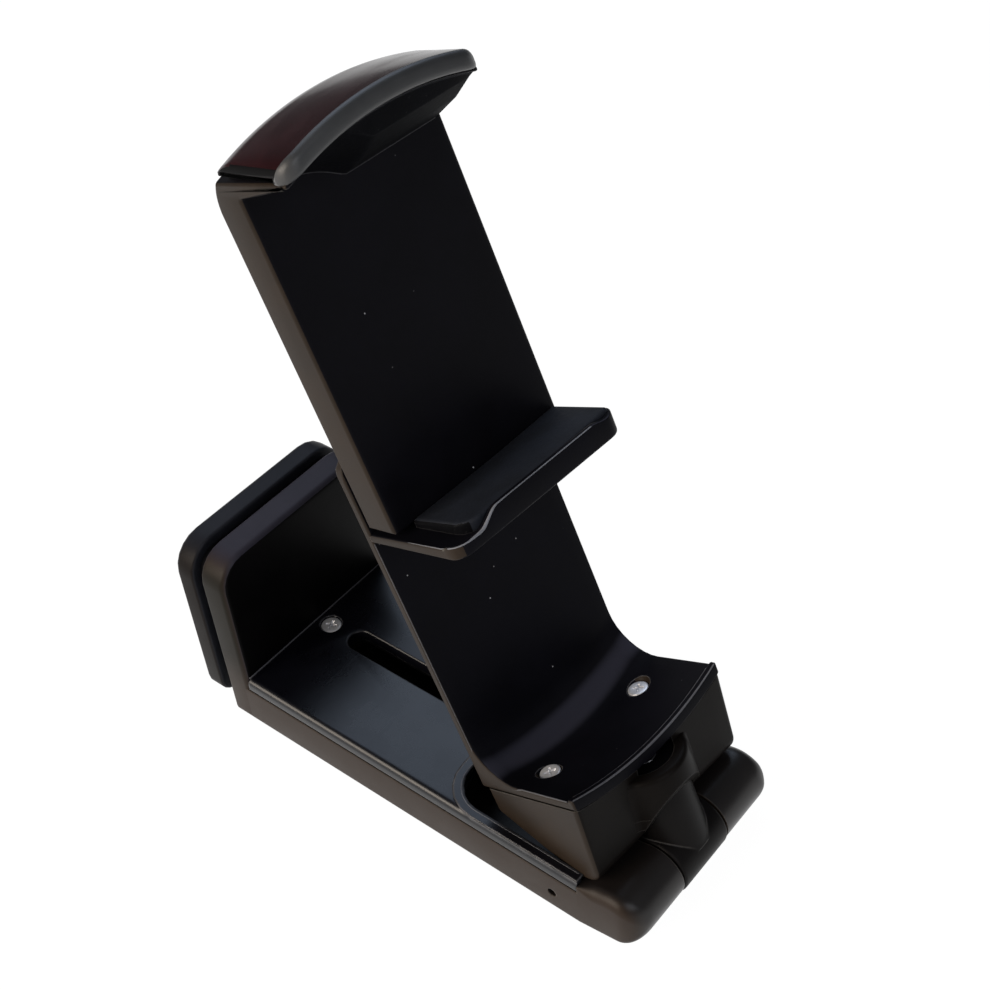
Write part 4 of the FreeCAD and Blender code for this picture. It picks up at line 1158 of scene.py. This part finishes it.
def make_sleeve():
    """The front panel, the hood's cap, and the core that shows in the groove between them."""
    panel = swept(panel_section, across(arm_half, 0.8, 21, 5), in_arm)
    cavity = block(-17.9, -14.1, -16.6, 16.6, 70.0, 125.6, in_arm)
    recess = block(-21.0, -17.85, -16.6, 16.6, 70.0, 128.8, in_arm)
    core = swept(core_section, across(17.1, 0.05, 15, 1), in_arm)
    cap = swept(cap_section, across(arm_half, 0.55, 61, 6), in_arm)
    return (
        piece("sliding_panel", panel, [cavity, recess]), piece("hood_core", core), piece("hood_cover", cap))


def make_sleeve_back():
    corners = rectangle(-16.4, 16.4, 75.2, 128.6, 0.3, 0.6)
    sheet = plate_x(corners, layers(panel_back, -17.9, 0.3, 0.1, 0, 3), in_arm)
    seat = [(-3.0, 0.9), (-0.8, 0.9), (-0.78, 1.6), (-0.1, 1.6), (0.1, 1.8), (1.0, 1.8)]
    cutters = []
    for y, height in sleeve_screws:
        place = spun(in_arm, panel_back, y, height, 0.0, -90.0)
        cutters.append(turned(seat, along_z(place, 0.0, 0.0), 32))
    return piece("sleeve_rear_sheet", sheet, cutters)


def pad_foot(y):
    """Height of the upper pad's foot: level over the far part and rising towards the near end."""
    run = max(-1.0 - y, 0.0)
    return min(126.9 + 5.2 * (1 - math.exp(-run / 5.0)) * (run / (run + 1.0)), 134.3 + dome(y))


def make_upper_pad():
    """A wedge in the corner under the hood that runs out towards the near end."""
    def section(y, inset):
        under = dome(y)
        foot = pad_foot(y)
        middle = min(foot + 2.75, 135.0 + under)
        nose = min(foot + 5.7, 135.8 + under)
        corners = [
            (panel_front, foot, 0.05), (-6.3, middle, 0.2), (-1.6, nose, 0.2), (-0.4, 136.05 + under, 0.0),
            (panel_front, 134.6 + under, 0.0)]
        return outline(corners, inset, [1.0, 1.0, 1.0, 0.0, 0.0], 3)

    return piece("hood_pad", swept(section, across(17.8, 0.4, 61, 4), in_arm))


def make_phone_spring(name, side):
    length = 46.0

    def place(run, a, b):
        return in_arm(-15.9 + a, side * sleeve_spring_y + b, 77.8 + run)

    made = piece(name + "_coil", coil(1.3, 0.22, length, 11, place), smooth=60)
    return stretched(made, length, place)


def make_hinge_cap():
    profile = [
        (hinge_cap_start, 3.15), (19.6, 3.15), (19.85, 3.05), (19.97, 2.8), (19.97, 1.3), (19.7, 1.0)]
    return piece("hinge_pin_cap", turned(profile, along_y(in_base, hinge_x, hinge_z)))


# Putting the pieces on their bodies

wall_part, tub_part = make_base_shell()
satin(wall_part, "base", wall_painted_light, "base_shell")
# The wall's inner face takes the painted shade.
paint_light_and_shade(wall_part, wall_face_painted_shade, lambda middle, direction: direction.x > 0.9)
satin(tub_part, "base", shell_plastic, "base_shell")
cover_part, step_part = make_base_cover()
satin(cover_part, "base", cover_plastic, "base_cover")
satin(step_part, "base", inner_plastic, "base_cover")
for part in make_base_edges():
    satin(part, "base", edge_highlight_plastic, "base_cover")
cover_screw = screw("cover_screw_head", 2.0, 1.2, spun(in_base, 3.2, 0.0, 12.15, 20.0), 7.0)
fitted(cover_screw, "base", bright_steel, "bright_steel", "cover_screw")
satin(make_hinge_cap(), "base", hinge_plastic, "hinge_cap")
near_pad, far_pad = make_jaw_pads()
fitted(near_pad, "base", pad_rubber, "soft_rubber", "wall_pad")
fitted(far_pad, "tray_clamp", pad_rubber, "soft_rubber", "tray_jaw_pad")
jaw_part, slide_part = make_tray_jaw()
satin(jaw_part, "tray_clamp", jaw_plastic, "tray_jaw")
satin(slide_part, "tray_clamp", inner_plastic, "tray_jaw")
for name, side in (("tray_spring_near", -1), ("tray_spring_far", 1)):
    fitted(make_tray_spring(name, side), None, spring_steel, "spring_steel", name)

satin(make_swivel_post(), "swivel_base", hinge_plastic, "swivel_post")
housing_part, barrel_part = make_swivel_housing()
satin(housing_part, "arm", housing_plastic, "swivel_housing")
# Its side faces take the painted side light.
paint_light_and_shade(housing_part, side_painted_light, at_sides)
satin(barrel_part, "arm", housing_plastic, "swivel_housing")
for part in make_back_plate():
    satin(part, "arm", plate_plastic, "back_plate")
    # Side faces take the painted side light.
    paint_light_and_shade(part, side_painted_light, at_sides)
for name, side in (("shelf_screw_near", -1), ("shelf_screw_far", 1)):
    y = side * shelf_screw_y
    place = spun(in_arm, shelf_screw_depth, y, shelf_height(shelf_screw_depth, y) - 0.1, 35.0 * side)
    fitted(screw(name + "_head", 1.9, 0.85, place, 6.0), "arm", bright_steel, "bright_steel", name)
lower_pad = fitted(make_lower_pad(), "arm", ledge_rubber, "soft_rubber", "lower_jaw_pad")
# Painted shade: the pad's faces turned to the near side take the darker rubber.
paint_light_and_shade(lower_pad, pad_rubber, lambda middle, direction: direction.y < -0.6)
satin(make_lip_edge(), "arm", bright_edge_highlight, "back_plate")
for part in make_plate_edges():
    satin(part, "arm", edge_highlight_plastic, "back_plate")

panel_part, core_part, cap_part = make_sleeve()
satin(panel_part, "upper_jaw", panel_plastic, "front_panel")
# Its side faces take the painted side light.
paint_light_and_shade(panel_part, side_painted_light, at_sides)
satin(core_part, "upper_jaw", inner_plastic, "front_panel")
fitted(cap_part, "upper_jaw", hood_gloss, "glossy_black_plastic", "hood_cap")
# The cap's front band takes the painted highlight.
paint_light_and_shade(cap_part, cap_front_painted_highlight, at_cap_front)
# Painted shade: the cap's near end takes the dark matt plastic.
paint_light_and_shade(cap_part, inner_plastic, at_cap_end)
satin(make_foot_edge(), "upper_jaw", foot_edge_highlight, "front_panel")
satin(make_sleeve_back(), "upper_jaw", inner_plastic, "sleeve_back")
fitted(make_upper_pad(), "upper_jaw", pad_rubber, "soft_rubber", "upper_jaw_pad")
for name, (y, height) in zip(("sleeve_guide_screw", "sleeve_screw_near", "sleeve_screw_far"), sleeve_screws):
    place = spun(in_arm, -19.4, y, height, 25.0, -90.0)
    fitted(screw(name + "_head", 1.5, 0.75, place, 4.0), "upper_jaw", bright_steel, "bright_steel", name)
for name, side in (("phone_spring_near", -1), ("phone_spring_far", 1)):
    fitted(make_phone_spring(name, side), None, spring_steel, "spring_steel", name)

# CAD pieces that stay as they are and take a finish
kept = {
    "hinge_pin": bright_steel, "hinge_washer_near": inner_plastic, "hinge_washer_far": inner_plastic,
    "swivel_washer": inner_plastic, "swivel_disc": inner_plastic, "swivel_screw": spring_steel,
    "spring_rod_near": bright_steel, "spring_rod_far": bright_steel, "jaw_guide_stud": inner_plastic,
}
for name, material in kept.items():
    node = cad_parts[name]
    for slot in node.material_slots:
        slot.material = material


# Camera, light and floor

def make_camera():
    """The photo's camera: where it stands, the way it looks, its level, its roll and its lens."""
    stand = Vector((181.0, -140.7, 245.3)) * MM
    towards = Vector((-0.5036, 0.5415, -0.6731)).normalized()
    level = Vector((0.7323, 0.6810, 0.0)).normalized()
    roll = math.radians(-6.26)
    picture_size = 990.0
    lens_in_pixels = 1660.0
    up = level.cross(towards).normalized()
    right = level * math.cos(roll) + up * math.sin(roll)
    above = up * math.cos(roll) - level * math.sin(roll)
    data = bpy.data.cameras.new("camera")
    data.sensor_width = 36.0
    data.lens = data.sensor_width * lens_in_pixels / picture_size
    data.clip_start = 0.01
    camera = bpy.data.objects.new("camera", data)
    bpy.context.scene.collection.objects.link(camera)
    turn = Matrix((right, above, -towards)).transposed().to_4x4()
    camera.matrix_world = Matrix.Translation(stand) @ turn
    bpy.context.scene.camera = camera


def make_lamp(name, place, size, power, colour):
    data = bpy.data.lights.new(name, "AREA")
    data.shape = "RECTANGLE"
    data.size, data.size_y = size
    data.energy = power
    data.color = colour
    lamp = bpy.data.objects.new(name, data)
    bpy.context.scene.collection.objects.link(lamp)
    lamp.location = place
    aim = Vector((0.05, 0.0, 0.06)) - Vector(place)
    lamp.rotation_euler = aim.to_track_quat("-Z", "Y").to_euler()


def make_floor():
    """A pale floor that the camera, mirrors and glass see as white."""
    size = 4.0
    points = [Vector((x * size, y * size, 0)) for x, y in ((-1, -1), (1, -1), (1, 1), (-1, 1))]
    floor = raw_object("floor", (points, [(0, 1, 2, 3)]))
    floor.location.z = -0.1 * MM
    finish = Finish("floor white")
    cloud = finish.noise(3.0)
    matt = finish.add("ShaderNodeBsdfDiffuse", {}, {
        "Color": finish.blend(finish.ramp(cloud, 0.3, 0.7), (0.80, 0.79, 0.78, 1), (0.84, 0.83, 0.82, 1))})
    glow = finish.add("ShaderNodeEmission", {}, {"Color": (1, 1, 1, 1), "Strength": 1.08})
    share = (finish.rays("Is Camera Ray") + finish.rays("Is Glossy Ray")
             + finish.rays("Is Transmission Ray")) * 0.90
    finish.put_out(
        "ShaderNodeOutputMaterial", finish.add("ShaderNodeMixShader", {}, {0: share, 1: matt, 2: glow}))
    floor.data.materials.append(finish.material)


def make_world():
    """Soft light from all round, with white behind the object."""
    world = bpy.data.worlds.new("studio")
    bpy.context.scene.world = world
    nodes = Nodes(world)
    either = nodes.rays("Is Camera Ray") + nodes.rays("Is Transmission Ray")
    plain = nodes.add("ShaderNodeBackground", {}, {"Color": (0.93, 0.95, 1.0, 1.0), "Strength": 0.16})
    white = nodes.add("ShaderNodeBackground", {}, {"Color": (1.0, 1.0, 1.0, 1.0), "Strength": 1.0})
    mixed = nodes.add("ShaderNodeMixShader", {}, {0: either, 1: plain, 2: white})
    nodes.put_out("ShaderNodeOutputWorld", mixed)


make_camera()
make_floor()
make_world()
make_lamp("key", (-0.25, -0.75, 0.35), (0.7, 0.5), 8.0, (1.0, 0.89, 0.77))
make_lamp("top", (-0.52, 0.52, 0.86), (0.8, 0.7), 3.4, (0.66, 0.79, 1.0))
make_lamp("front", (0.75, -0.20, 0.60), (0.6, 0.6), 2.4, (0.90, 0.93, 1.0))
bpy.context.scene.view_settings.view_transform = "Standard"
